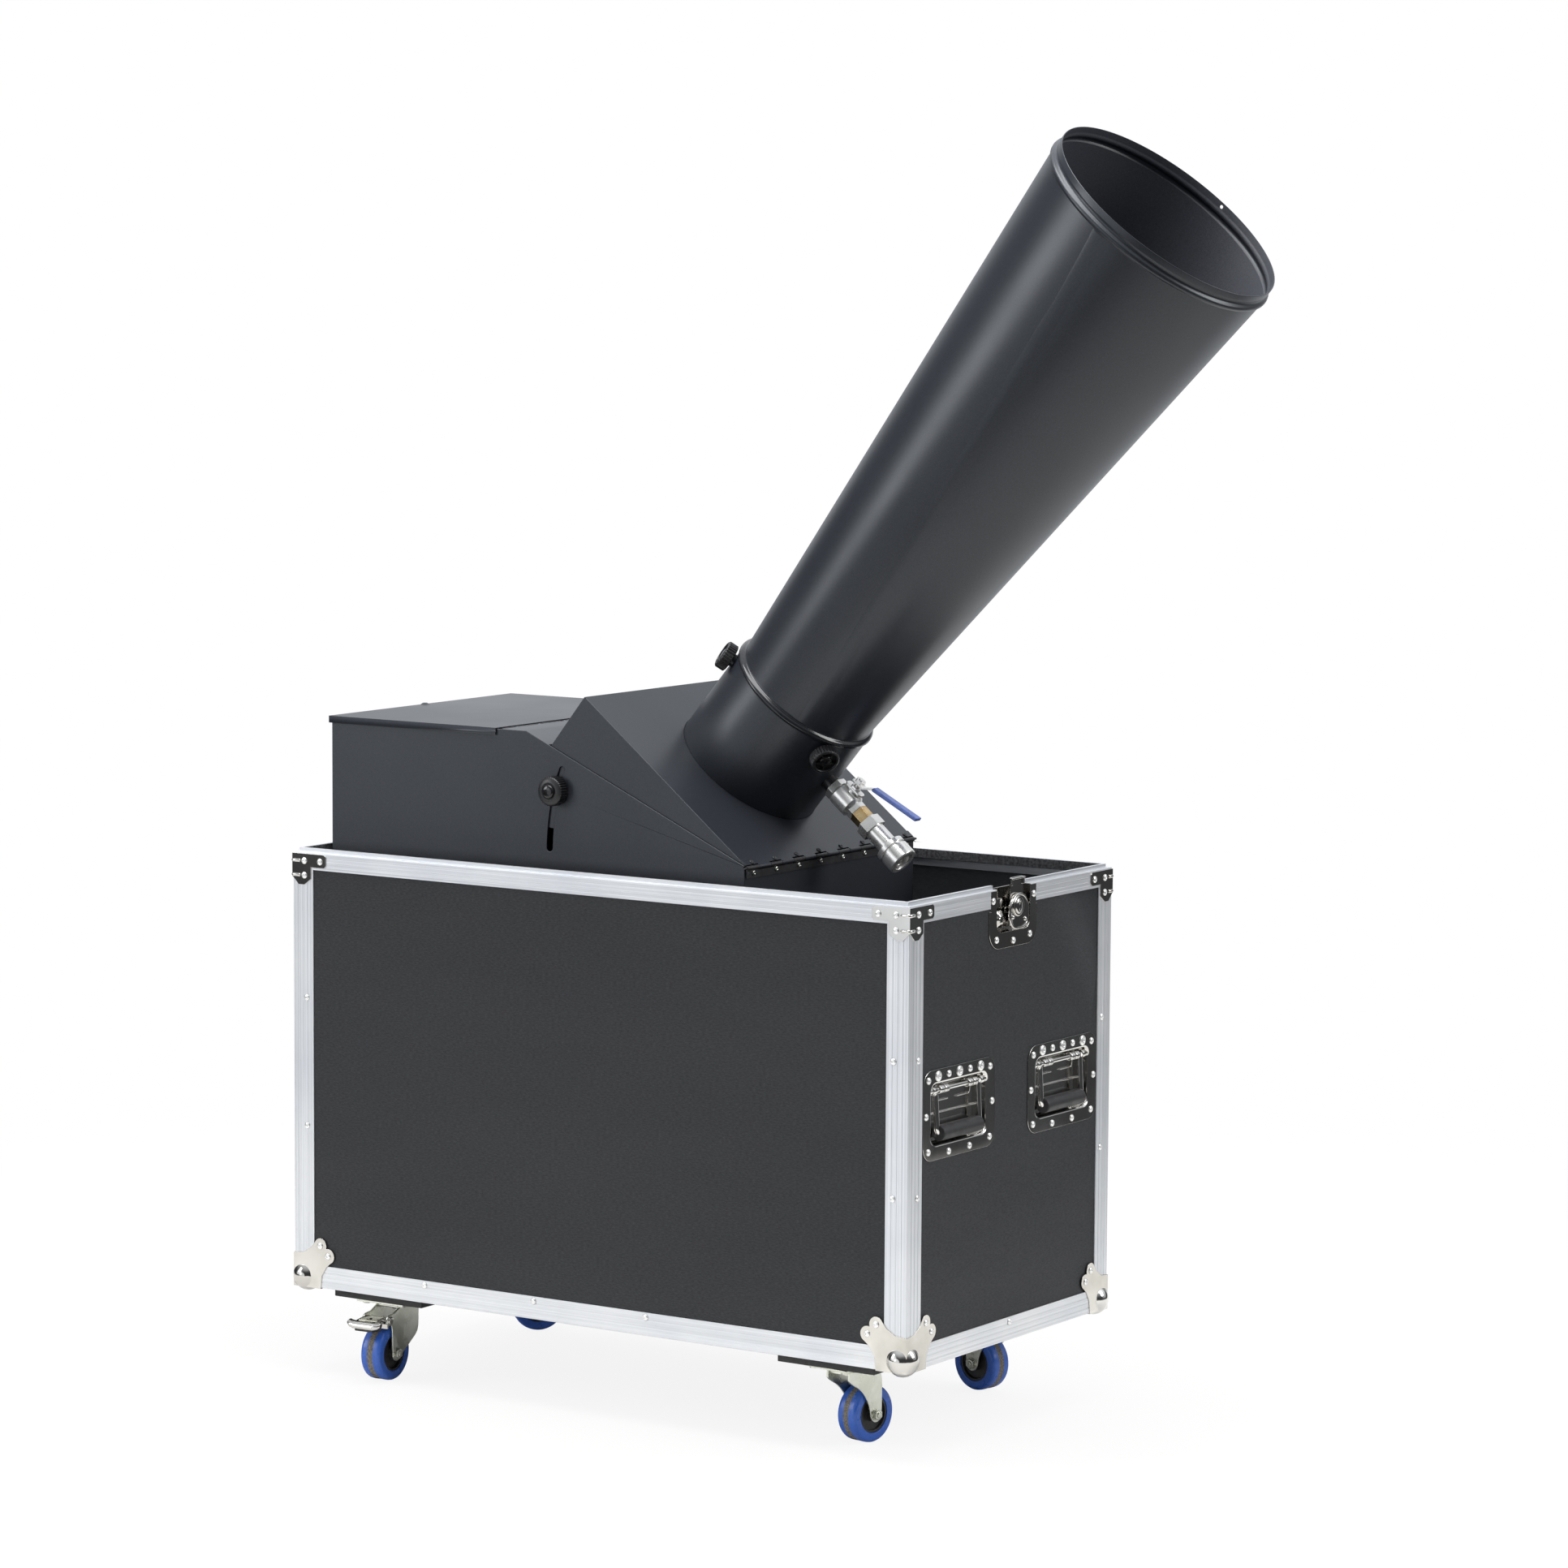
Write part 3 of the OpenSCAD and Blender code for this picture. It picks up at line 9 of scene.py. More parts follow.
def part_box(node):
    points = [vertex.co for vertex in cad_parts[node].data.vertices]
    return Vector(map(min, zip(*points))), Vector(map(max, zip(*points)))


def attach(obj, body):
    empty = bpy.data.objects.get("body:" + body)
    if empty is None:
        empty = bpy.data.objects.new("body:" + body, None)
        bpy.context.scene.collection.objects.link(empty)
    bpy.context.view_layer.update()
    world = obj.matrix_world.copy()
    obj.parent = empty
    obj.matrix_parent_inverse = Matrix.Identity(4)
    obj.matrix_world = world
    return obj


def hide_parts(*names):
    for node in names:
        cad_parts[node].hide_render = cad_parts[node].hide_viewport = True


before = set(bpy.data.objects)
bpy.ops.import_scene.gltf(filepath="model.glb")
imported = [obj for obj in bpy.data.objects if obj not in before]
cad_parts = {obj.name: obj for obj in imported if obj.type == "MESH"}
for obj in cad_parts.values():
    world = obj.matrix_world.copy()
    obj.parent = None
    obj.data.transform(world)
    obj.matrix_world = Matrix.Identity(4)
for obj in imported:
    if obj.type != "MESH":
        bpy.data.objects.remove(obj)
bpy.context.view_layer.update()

# Studio
# A pale floor under the case, a soft even sky and three soft boxes, as in a product
# photograph. The floor fades out at its rim, so that no horizon line shows.

FLOOR_R = 2.6


def node(tree, kind, inputs=None, **settings):
    """Adds a node: settings are its own properties, inputs are plain values or sockets to join."""
    made = tree.nodes.new(kind)
    for key, value in settings.items():
        setattr(made, key, value)
    for key, value in (inputs or {}).items():
        if isinstance(value, bpy.types.NodeSocket):
            tree.links.new(value, made.inputs[key])
        else:
            made.inputs[key].default_value = value
    return made


def spread(tree, value, low, high, to_low=0.0, to_high=1.0, kind="LINEAR"):
    """Maps a value from one range to another and gives the new socket."""
    return node(tree, "ShaderNodeMapRange", {
        "Value": value, "From Min": low, "From Max": high, "To Min": to_low, "To Max": to_high},
        interpolation_type=kind).outputs["Result"]


def basic(name, make, **sizes):
    """One of Blender's basic shapes under a name, alone selected."""
    bpy.ops.object.select_all(action="DESELECT")
    make(**sizes)
    piece = bpy.context.object
    piece.name = name
    return piece


def soft_panel(tree, direction, toward, inner, outer, strength):
    """Light from one part of the sky, full within the inner angle and none past the outer one."""
    facing = node(tree, "ShaderNodeVectorMath", {0: direction, 1: Vector(toward).normalized()},
                  operation="DOT_PRODUCT")
    return spread(tree, facing.outputs["Value"], math.cos(math.radians(outer)),
                  math.cos(math.radians(inner)), 0, strength, "SMOOTHSTEP")


sky = bpy.data.worlds.new("studio_sky")
bpy.context.scene.world = sky
sky.use_nodes = True
tree = sky.node_tree
tree.nodes.clear()
looking = node(tree, "ShaderNodeTexCoord").outputs["Generated"]
height = node(tree, "ShaderNodeSeparateXYZ", {0: looking}).outputs["Z"]
above = spread(tree, height, -0.05, 0.09, kind="SMOOTHSTEP")
light = soft_panel(tree, looking, (0, 0.1, 1), 15, 80, 1.0)
for toward, inner, outer, strength in (
        ((-0.55, 0.85, 0.22), 14, 42, 0.75),
        ((-0.64, -0.76, 0.14), 8, 30, 1.25),
        ((0.75, 0.60, 0.45), 6, 30, 0.6)):
    panel = soft_panel(tree, looking, toward, inner, outer, strength)
    panel = node(tree, "ShaderNodeMath", {0: panel, 1: above}, operation="MULTIPLY").outputs[0]
    light = node(tree, "ShaderNodeMath", {0: light, 1: panel}, operation="ADD").outputs[0]
# low panels: one that the fronts to the right reflect, and the bright backdrop behind
for toward, inner, outer, strength in (
        ((-0.25, -0.96, -0.05), 18, 23.5, 1.0),
        ((-0.15, 0.93, -0.33), 14, 34, 0.8)):
    panel = soft_panel(tree, looking, toward, inner, outer, strength)
    light = node(tree, "ShaderNodeMath", {0: light, 1: panel}, operation="ADD").outputs[0]
light = node(tree, "ShaderNodeMath", {0: light, 1: 0.06}, operation="ADD").outputs[0]
seen = node(tree, "ShaderNodeLightPath").outputs["Is Camera Ray"]
backdrop = node(tree, "ShaderNodeBackground", {"Color": (1, 1, 1, 1), "Strength": 1.0})
glow = node(tree, "ShaderNodeBackground", {"Color": (0.93, 0.96, 1.0, 1), "Strength": light})
mixed = node(tree, "ShaderNodeMixShader", {0: seen, 1: glow.outputs[0], 2: backdrop.outputs[0]})
node(tree, "ShaderNodeOutputWorld", {"Surface": mixed.outputs[0]})

for name, place, aim, width, height_m, power in (
        ("soft_box_left", (-2.6, -2.6, 1.9), (0, 0, 0.8), 1.2, 1.8, 30),
        ("soft_box_top", (0.1, -0.5, 3.4), (0, 0, 0.7), 2.2, 1.6, 70),
        ("soft_box_right", (3.3, 1.3, 2.1), (0.4, 0, 0.6), 1.2, 1.8, 48)):
    lamp = bpy.data.lights.new(name, "AREA")
    lamp.shape = "RECTANGLE"
    lamp.size, lamp.size_y, lamp.energy = width, height_m, power
    box_light = bpy.data.objects.new(name, lamp)
    bpy.context.scene.collection.objects.link(box_light)
    box_light.location = place
    box_light.rotation_euler = (Vector(aim) - Vector(place)).to_track_quat("-Z", "Y").to_euler()
    box_light.visible_camera = False

floor = basic("studio_floor", bpy.ops.mesh.primitive_circle_add, vertices=96, radius=FLOOR_R,
              fill_type="NGON")
paper = bpy.data.materials.new("pale_paper")
paper.use_nodes = True
tree = paper.node_tree
tree.nodes.clear()
where = node(tree, "ShaderNodeTexCoord").outputs["Object"]
out_from_middle = node(tree, "ShaderNodeVectorMath", {0: where}, operation="LENGTH").outputs["Value"]
fade = spread(tree, out_from_middle, 0.45 * FLOOR_R, FLOOR_R, kind="SMOOTHSTEP")
matt = node(tree, "ShaderNodeBsdfDiffuse", {"Color": (0.90, 0.885, 0.85, 1)})
lit = node(tree, "ShaderNodeEmission", {"Color": (1, 1, 1, 1), "Strength": 1.0})
paper_seen = node(tree, "ShaderNodeLightPath").outputs["Is Camera Ray"]
flat_share = node(tree, "ShaderNodeMath", {0: paper_seen, 1: 0.88}, operation="MULTIPLY").outputs[0]
base = node(tree, "ShaderNodeMixShader", {0: flat_share, 1: matt.outputs[0], 2: lit.outputs[0]})
clear = node(tree, "ShaderNodeBsdfTransparent")
sheet = node(tree, "ShaderNodeMixShader", {0: fade, 1: base.outputs[0], 2: clear.outputs[0]})
node(tree, "ShaderNodeOutputMaterial", {"Surface": sheet.outputs[0]})
floor.data.materials.append(paper)

CAMERA_AT = (4.13674, -6.03038, 1.62384)
CAMERA_TURN, CAMERA_DIP, CAMERA_ROLL = 33.5494, 6.2032, 0.3356
FOCAL_LENGTH_PX, PHOTO_WIDTH_PX = 6673.5, 1932
camera = bpy.data.objects.new("camera", bpy.data.cameras.new("camera"))
bpy.context.scene.collection.objects.link(camera)
camera.data.sensor_width = 36.0
camera.data.lens = camera.data.sensor_width * FOCAL_LENGTH_PX / PHOTO_WIDTH_PX
camera.data.clip_end = 60
turn, dip, roll = (math.radians(a) for a in (CAMERA_TURN, CAMERA_DIP, CAMERA_ROLL))
ahead = Vector((-math.sin(turn) * math.cos(dip), math.cos(turn) * math.cos(dip), -math.sin(dip)))
right = Vector((math.cos(turn), math.sin(turn), 0))
up = right.cross(ahead)
right, up = (math.cos(roll) * right + math.sin(roll) * up,
             math.cos(roll) * up - math.sin(roll) * right)
camera.matrix_world = Matrix.Translation(CAMERA_AT) @ Matrix(
    (right, up, -ahead)).transposed().to_4x4()
bpy.context.scene.camera = camera
bpy.context.scene.view_settings.view_transform = "Standard"

# Case panels
# Birch plywood faced with a dark phenolic laminate, pressed with a fine grain.
# The panels are held in the grooves of the aluminium extrusions.

MM = 0.001


def effect_group(name, inputs, outputs):
    """An empty shader node group with named sockets, and its input and output nodes."""
    group = bpy.data.node_groups.new(name, "ShaderNodeTree")
    for label, kind, value in inputs:
        socket = group.interface.new_socket(label, in_out="INPUT", socket_type=kind)
        if value is not None:
            socket.default_value = value
    for label in outputs:
        group.interface.new_socket(label, in_out="OUTPUT", socket_type="NodeSocketFloat")
    return group, group.nodes.new("NodeGroupInput"), group.nodes.new("NodeGroupOutput")


# Grain: a fine bumpy pattern and a slow change of tone, for all finishes but the aluminium
grain, given, result = effect_group("surface_grain", (
    ("Vector", "NodeSocketVector", None), ("Fine Scale", "NodeSocketFloat", 600.0),
    ("Slow Scale", "NodeSocketFloat", 6.0), ("Detail", "NodeSocketFloat", 3.0)),
    ("Height", "Tone", "Patches"))
fine = node(grain, "ShaderNodeTexNoise", {
    "Vector": given.outputs["Vector"], "Scale": given.outputs["Fine Scale"],
    "Detail": given.outputs["Detail"], "Roughness": 0.6})
slow = node(grain, "ShaderNodeTexNoise", {
    "Vector": given.outputs["Vector"], "Scale": given.outputs["Slow Scale"], "Detail": 4.0})
tone = spread(grain, fine.outputs[0], 0.3, 0.7)
patches = spread(grain, slow.outputs[0], 0.35, 0.65)
for label, source in (("Height", fine.outputs[0]), ("Tone", tone), ("Patches", patches)):
    grain.links.new(source, result.inputs[label])


def new_finish(name, colour, roughness, metallic, **sockets):
    """A new material: its shader's plain numbers are set here, its pattern is wired in after."""
    made = bpy.data.materials.new(name)
    made.use_nodes = True
    shader = made.node_tree.nodes["Principled BSDF"]
    shader.inputs["Base Color"].default_value = (*colour, 1)
    shader.inputs["Roughness"].default_value = roughness
    shader.inputs["Metallic"].default_value = metallic
    for label, value in sockets.items():
        shader.inputs[label.replace("_", " ")].default_value = value
    return made, made.node_tree, shader


def grained_finish(name, dark, pale, rough, bump, fine, slow, metallic=0.0, stretch=(1, 1, 1),
                   tone_from="Tone", **sockets):
    """A finish that follows the grain: colour from dark to pale, gloss within rough, and a bump."""
    made, tree, shader = new_finish(name, dark, rough[0], metallic, **sockets)
    where = node(tree, "ShaderNodeTexCoord").outputs["Object"]
    laid = node(tree, "ShaderNodeMapping", {"Vector": where, "Scale": stretch}).outputs[0]
    cover = node(tree, "ShaderNodeGroup", node_tree=grain)
    tree.links.new(laid, cover.inputs["Vector"])
    cover.inputs["Fine Scale"].default_value = fine
    cover.inputs["Slow Scale"].default_value = slow
    colour = node(tree, "ShaderNodeMix", {
        0: cover.outputs[tone_from], 6: (*dark, 1), 7: (*pale, 1)}, data_type="RGBA")
    gloss = spread(tree, cover.outputs["Patches"], 0, 1, *rough)
    relief = node(tree, "ShaderNodeBump", {
        "Height": cover.outputs["Height"], "Strength": bump[0], "Distance": bump[1] * MM})
    tree.links.new(colour.outputs[2], shader.inputs["Base Color"])
    tree.links.new(gloss, shader.inputs["Roughness"])
    tree.links.new(relief.outputs[0], shader.inputs["Normal"])
    return made


def work_on(piece):
    """Makes one object the only selected and the active one."""
    bpy.ops.object.select_all(action="DESELECT")
    piece.select_set(True)
    bpy.context.view_layer.objects.active = piece


def edit_all(piece):
    """Opens one object in edit mode with all of its mesh selected."""
    work_on(piece)
    bpy.ops.object.mode_set(mode="EDIT")
    bpy.ops.mesh.select_all(action="SELECT")


def end_edit():
    bpy.ops.object.mode_set(mode="OBJECT")


def join_all(*pieces):
    """Joins pieces into the first one."""
    work_on(pieces[0])
    for piece in pieces[1:]:
        piece.select_set(True)
    bpy.ops.object.join()
    return pieces[0]


def modify(piece, label, kind, **settings):
    """Adds a modifier with its settings and applies it."""
    work_on(piece)
    made = piece.modifiers.new(label, kind)
    for key, value in settings.items():
        setattr(made, key, value)
    bpy.ops.object.modifier_apply(modifier=made.name)


def soften(piece, width, segments=2, angle=30):
    """Rounds the sharp edges with a bevel and keeps the broad faces looking flat."""
    work_on(piece)
    bpy.ops.object.shade_smooth()
    if width:
        modify(piece, "rounded_edges", "BEVEL", width=width * MM, segments=segments,
               limit_method="ANGLE", angle_limit=math.radians(angle), use_clamp_overlap=False)
    modify(piece, "flat_faces", "WEIGHTED_NORMAL", keep_sharp=True)


def coat(piece, *finishes):
    """Gives a piece its finishes, the main one first."""
    for finish in finishes:
        piece.data.materials.append(finish)
    return piece


def carry_over(name, body, slot, *nodes):
    """A merged copy of CAD nodes as one new piece that stands for them."""
    copies = []
    for label in nodes:
        copies.append(bpy.data.objects.new(name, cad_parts[label].data.copy()))
        bpy.context.scene.collection.objects.link(copies[-1])
    piece = join_all(*copies) if len(copies) > 1 else copies[0]
    edit_all(piece)
    bpy.ops.mesh.remove_doubles(threshold=0.002 * MM)
    bpy.ops.mesh.dissolve_limited(angle_limit=math.radians(0.4))
    bpy.ops.mesh.select_all(action="SELECT")
    bpy.ops.mesh.customdata_custom_splitnormals_clear()
    end_edit()
    piece.data.materials.clear()
    return hand_over(piece, body, slot, *nodes)


def carry_coated(name, body, slot, source, finish, width, segments=2):
    """A piece carried over from one CAD node, with rounded edges and one finish."""
    piece = carry_over(name, body, slot, source)
    soften(piece, width, segments)
    return coat(piece, finish)


def hand_over(piece, body, slot, *nodes):
    """Says which body a piece moves with and which nodes it stands for; the slot is not used."""
    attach(piece, body)
    if nodes:
        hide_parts(*nodes)
    return piece


laminate = grained_finish(
    "pressed_laminate", (0.017, 0.018, 0.020), (0.036, 0.037, 0.041), (0.58, 0.68),
    (0.5, 0.18), 420, 5, stretch=(0.45, 0.45, 1.6), Specular_IOR_Level=0.32)
# Painted light: a much lighter copy of the laminate for the inner faces and the case floor, painted
# fill light that lifts the shade inside the case.
inner_laminate_painted_fill = grained_finish(
    "inner_laminate_painted_fill", (0.17, 0.176, 0.188), (0.24, 0.248, 0.262), (0.50, 0.62),
    (0.5, 0.18), 420, 5, stretch=(0.45, 0.45, 1.6))
panels = carry_over("laminated_panels", "case", "laminate_panel",
                    "side_panels", "end_panels", "floor_panel")
soften(panels, 0.4)
coat(panels, laminate, inner_laminate_painted_fill)
# faces that look inwards, and the top of the case floor, take the lighter copy: painted fill light in
# the shaded inside of the case
for face in panels.data.polygons:
    inward = face.normal.xy.dot(face.center.xy.normalized()) < -0.3
    face.material_index = int(inward or face.normal.z > 0.9 and face.center.z < 0.2)

# Aluminium extrusions
# Mill-finish aluminium: the tongue profile round the rim, four upright corner angles and
# four bottom angles, mitred and riveted. Die lines run along each bar.

streaks, given, result = effect_group("die_lines", (
    ("Vector", "NodeSocketVector", None), ("Place", "NodeSocketVector", None),
    ("Lines", "NodeSocketFloat", 900.0)), ("Lines", "Cloud"))
lines = node(streaks, "ShaderNodeTexNoise", {
    "Vector": given.outputs["Vector"], "Scale": given.outputs["Lines"], "Detail": 2.0,
    "Roughness": 0.7})
cloud = node(streaks, "ShaderNodeTexNoise", {
    "Vector": given.outputs["Place"], "Scale": 9.0, "Detail": 3.0})
for label, source in (("Lines", lines), ("Cloud", cloud)):
    streaks.links.new(spread(streaks, source.outputs[0], 0.3, 0.7), result.inputs[label])


def drawn_metal(name, pale, dark, rough, along, lines):
    """Bright metal with fine lines; along is the pattern's scale, small on the axis they follow."""
    made, tree, shader = new_finish(name, pale, rough[0], 0.6)
    where = node(tree, "ShaderNodeTexCoord").outputs["Object"]
    laid = node(tree, "ShaderNodeMapping", {"Vector": where, "Scale": along}).outputs[0]
    marks = node(tree, "ShaderNodeGroup", node_tree=streaks)
    tree.links.new(laid, marks.inputs["Vector"])
    tree.links.new(where, marks.inputs["Place"])
    marks.inputs["Lines"].default_value = lines
    colour = node(tree, "ShaderNodeMix", {
        0: marks.outputs["Cloud"], 6: (*dark, 1), 7: (*pale, 1)}, data_type="RGBA")
    shade = spread(tree, marks.outputs["Lines"], 0, 1, 0.80, 1.0)
    ribbed = node(tree, "ShaderNodeVectorMath", {
        0: colour.outputs[2], "Scale": shade}, operation="SCALE")
    gloss = spread(tree, marks.outputs["Lines"], 0, 1, *rough)
    relief = node(tree, "ShaderNodeBump", {
        "Height": marks.outputs["Lines"], "Strength": 0.05, "Distance": 0.2 * MM})
    tree.links.new(ribbed.outputs[0], shader.inputs["Base Color"])
    tree.links.new(gloss, shader.inputs["Roughness"])
    tree.links.new(relief.outputs[0], shader.inputs["Normal"])
    return made


aluminium = [drawn_metal(f"aluminium_along_{axis}", (0.87, 0.88, 0.90), (0.76, 0.78, 0.82),
                         (0.34, 0.46), [0.003 if a == axis else 1 for a in "xyz"], 420)
             for axis in "xyz"]


def pick_edges(test):
    """In edit mode, selects only the edges whose middle and direction pass a test."""
    bpy.ops.mesh.select_mode(type="EDGE")
    bpy.ops.mesh.select_all(action="DESELECT")
    shape = bmesh.from_edit_mesh(bpy.context.edit_object.data)
    for edge in shape.edges:
        a, b = (corner.co for corner in edge.verts)
        edge.select_set(bool(test((a + b) / 2, (b - a).normalized())))
    bmesh.update_edit_mesh(bpy.context.edit_object.data)


def bars_by_direction(piece):
    """Gives each loose bar of a piece the aluminium whose lines follow its length."""
    edit_all(coat(piece, *aluminium))
    shape = bmesh.from_edit_mesh(piece.data)
    seen = set()
    for start in shape.verts:
        if start in seen:
            continue
        bar, queue = {start}, [start]
        while queue:
            corner = queue.pop()
            for edge in corner.link_edges:
                other = edge.other_vert(corner)
                if other not in bar:
                    bar.add(other)
                    queue.append(other)
        seen |= bar
        spans = [max(v.co[i] for v in bar) - min(v.co[i] for v in bar) for i in range(3)]
        for corner in bar:
            for face in corner.link_faces:
                face.material_index = spans.index(max(spans))
    bmesh.update_edit_mesh(piece.data)
    end_edit()


def round_long_edges(piece, test, radius):
    """Bevels only the edges that pass the test, as the rounded heel of an extrusion."""
    edit_all(piece)
    pick_edges(test)
    bpy.ops.mesh.bevel(offset=radius * MM, segments=3, affect="EDGES", clamp_overlap=False)
    end_edit()


CASE_HALF = (0.500, 0.255)
CASE_Z, RIM_Z = 0.122, 0.726


def at(value, target):
    """Whether a coordinate is the target or its negative, to 0.2 mm."""
    return abs(abs(value) - target) < 0.2 * MM


rim = carry_over("rim_extrusions", "case", "aluminium_profile", "rim_profiles")
round_long_edges(rim, lambda m, d: at(m.z, RIM_Z) and (
    at(m.y, CASE_HALF[1]) and abs(d.x) > 0.9 or at(m.x, CASE_HALF[0]) and abs(d.y) > 0.9), 0.9)
bars_by_direction(rim)
soften(rim, 0.15)

angles = carry_over("corner_and_bottom_angles", "case", "aluminium_profile", "corner_angles")
round_long_edges(angles, lambda m, d: (
    at(m.x, CASE_HALF[0]) and at(m.y, CASE_HALF[1]) and abs(d.z) > 0.9
    or at(m.z, CASE_Z) and at(m.y, CASE_HALF[1]) and abs(d.x) > 0.9
    or at(m.z, CASE_Z) and at(m.x, CASE_HALF[0]) and abs(d.y) > 0.9), 1.1)
bars_by_direction(angles)
soften(angles, 0.15)

# Pressed steel corners
# Bright-plated pressings: ball corners below, braces at the rim, both riveted over the
# extrusions.

PRESS_T = 1.2


def shift(x, y, z):
    """A move by millimetres."""
    return Matrix.Translation((x * MM, y * MM, z * MM))


def set_in_place(piece, matrix):
    """Moves a piece made at the origin to its place and bakes that into its mesh."""
    piece.data.transform(matrix)
    if matrix.determinant() < 0:
        piece.data.flip_normals()
    return piece


def close_up(piece):
    """Merges doubles and turns all faces outwards."""
    edit_all(piece)
    bpy.ops.mesh.remove_doubles(threshold=0.001 * MM)
    bpy.ops.mesh.normals_make_consistent(inside=False)
    end_edit()
    return piece


def bent_wire(name, points, radius, bend, steps=6, sides=16):
    """A round wire through points in millimetres, its corners bent to a radius."""
    points = [Vector(p) * MM for p in points]
    path = [points[0]]
    for before, corner, after in zip(points, points[1:], points[2:]):
        back, on = (before - corner).normalized(), (after - corner).normalized()
        reach = bend * MM / math.tan(back.angle(on) / 2)
        start, stop = corner + back * reach, corner + on * reach
        for i in range(steps + 1):
            t = i / steps
            path.append((1 - t) ** 2 * start + 2 * t * (1 - t) * corner + t ** 2 * stop)
    path.append(points[-1])
    line = bpy.data.curves.new(name, "CURVE")
    line.dimensions, line.bevel_depth = "3D", radius * MM
    line.bevel_resolution, line.use_fill_caps = sides // 4 - 1, True
    spline = line.splines.new("POLY")
    spline.points.add(len(path) - 1)
    for spot, place in zip(spline.points, path):
        spot.co = (*place, 1)
    piece = bpy.data.objects.new(name, line)
    bpy.context.scene.collection.objects.link(piece)
    work_on(piece)
    bpy.ops.object.convert(target="MESH")
    return close_up(bpy.context.object)


def face_on(piece, test):
    """Gives the faces whose middle passes a test the piece's second finish."""
    for face in piece.data.polygons:
        if test(face.center):
            face.material_index = 1


def cut_away(piece, cutter):
    """Cuts one closed shape out of another and throws the cutter away."""
    modify(piece, "cut", "BOOLEAN", object=cutter, operation="DIFFERENCE", solver="EXACT")
    bpy.data.objects.remove(cutter)


def slab(name, outline, amount):
    """A closed block: a point drawn round the outline in millimetres, filled, then raised."""
    piece = basic(name, bpy.ops.mesh.primitive_plane_add, size=MM)
    edit_all(piece)
    bpy.ops.mesh.merge(type="CENTER")
    bpy.ops.transform.translate(value=(outline[0][0] * MM, outline[0][1] * MM, 0))
    for (ax, ay), (bx, by) in zip(outline, outline[1:]):
        bpy.ops.mesh.extrude_region_move(
            TRANSFORM_OT_translate={"value": ((bx - ax) * MM, (by - ay) * MM, 0)})
    bpy.ops.mesh.select_all(action="SELECT")
    bpy.ops.mesh.edge_face_add()
    end_edit()
    edit_all(piece)
    bpy.ops.mesh.extrude_region_move(TRANSFORM_OT_translate={"value": (0, 0, amount * MM)})
    end_edit()
    return close_up(piece)


plated = grained_finish(
    "bright_nickel", (0.52, 0.50, 0.46), (0.74, 0.72, 0.68), (0.10, 0.22), (0.05, 0.1), 260, 16,
    metallic=1.0, tone_from="Patches")
chrome = grained_finish(
    "chrome_plate", (0.55, 0.53, 0.50), (0.74, 0.73, 0.71), (0.05, 0.12), (0.04, 0.1), 220, 7,
    metallic=1.0, tone_from="Patches")
BALL_R, BALL_IN = 21.5, 13.5
CORNERS = [(end, side) for end in (1, -1) for side in (-1, 1)]
balls = carry_over("ball_corner_pressings", "case", "pressed_steel", "ball_corners")
for end, side in CORNERS:
    for turn in (0, 1):
        # the ball's notch: a wedge that opens upwards from the case's upright edge
        notch = slab("ball_notch", [(-3, 3), (3, 3), (17, 24), (-3, 24)], 12)
        flat = Matrix(((-1, 0, 0, 0), (0, 0, 1, 0), (0, 1, 0, 0), (0, 0, 0, 1)))
        if turn:
            flat = Matrix(((0, 0, 1, 0), (-1, 0, 0, 0), (0, 1, 0, 0), (0, 0, 0, 1)))
        place = Matrix.Translation((end * CASE_HALF[0], side * CASE_HALF[1], CASE_Z + BALL_IN * MM))
        out = shift(0, 0, PRESS_T + 0.02)
        mirror = Matrix.Diagonal((end, side, 1, 1))
        set_in_place(notch, place @ mirror @ flat @ out)
        close_up(notch)
        cut_away(balls, notch)
soften(balls, 0.25, 2, 40)
coat(balls, plated, chrome)
face_on(balls, lambda m: abs((Vector((abs(m.x), abs(m.y), m.z)) - Vector(
    (CASE_HALF[0] - BALL_IN * MM, CASE_HALF[1] - BALL_IN * MM, CASE_Z + BALL_IN * MM))).length
    - BALL_R * MM) < 0.5 * MM)
braces = carry_over("rim_brace_pressings", "case", "pressed_steel", "corner_braces")
soften(braces, 0.3)
ribs = []
for end, side in CORNERS:
    for drop in (12, 32):
        rib = bent_wire("brace_rib", [(-12.5, -0.3, 0), (0.3, -0.3, 0), (0.3, 9.5, 0)], 2.6, 2.4, 5, 12)
        corner = Matrix.Translation((end * (CASE_HALF[0] + 0.0002), side * (CASE_HALF[1] + 0.0002),
                                     RIM_Z - drop * MM))
        ribs.append(set_in_place(rib, corner @ Matrix.Diagonal((end, -side, 1, 1))))
ribs = join_all(*ribs)
soften(ribs, 0)
braces = join_all(braces, ribs)
braces.data.materials.clear()
coat(braces, chrome)

# Rivets
# Steel pop rivets with a domed flange and the broken mandrel's dimple in the middle. They
# hold the extrusions, the corners and the dishes on the panels.

rivet_metal = grained_finish(
    "bright_rivet_steel", (0.90, 0.90, 0.89), (0.98, 0.98, 0.97), (0.26, 0.38), (0.1, 0.1), 500,
    30, metallic=0.75, tone_from="Patches")
rivets = carry_over("pop_rivets", "case", "rivet_steel", "case_rivets")
BROAD_AT = [(side * 0.1305 + along * MM, 0.499) for side in (-1, 1) for along in (-52, 0, 52)]
RIVET_REACH, BROADER = 0.006, 0.32
for corner in rivets.data.vertices:
    # the three heads that hold each handle's spring are broad ones
    for y, z in BROAD_AT:
        out_of_middle = Vector((0, corner.co.y - y, corner.co.z - z))
        if abs(corner.co.x) > 0.49 and out_of_middle.length < RIVET_REACH:
            corner.co += BROADER * out_of_middle
soften(rivets, 0)
coat(rivets, rivet_metal)

# Foam band
# A band of closed-cell foam with a woven face, glued inside the rim. It cushions the lid
# of the case and keeps dust out.

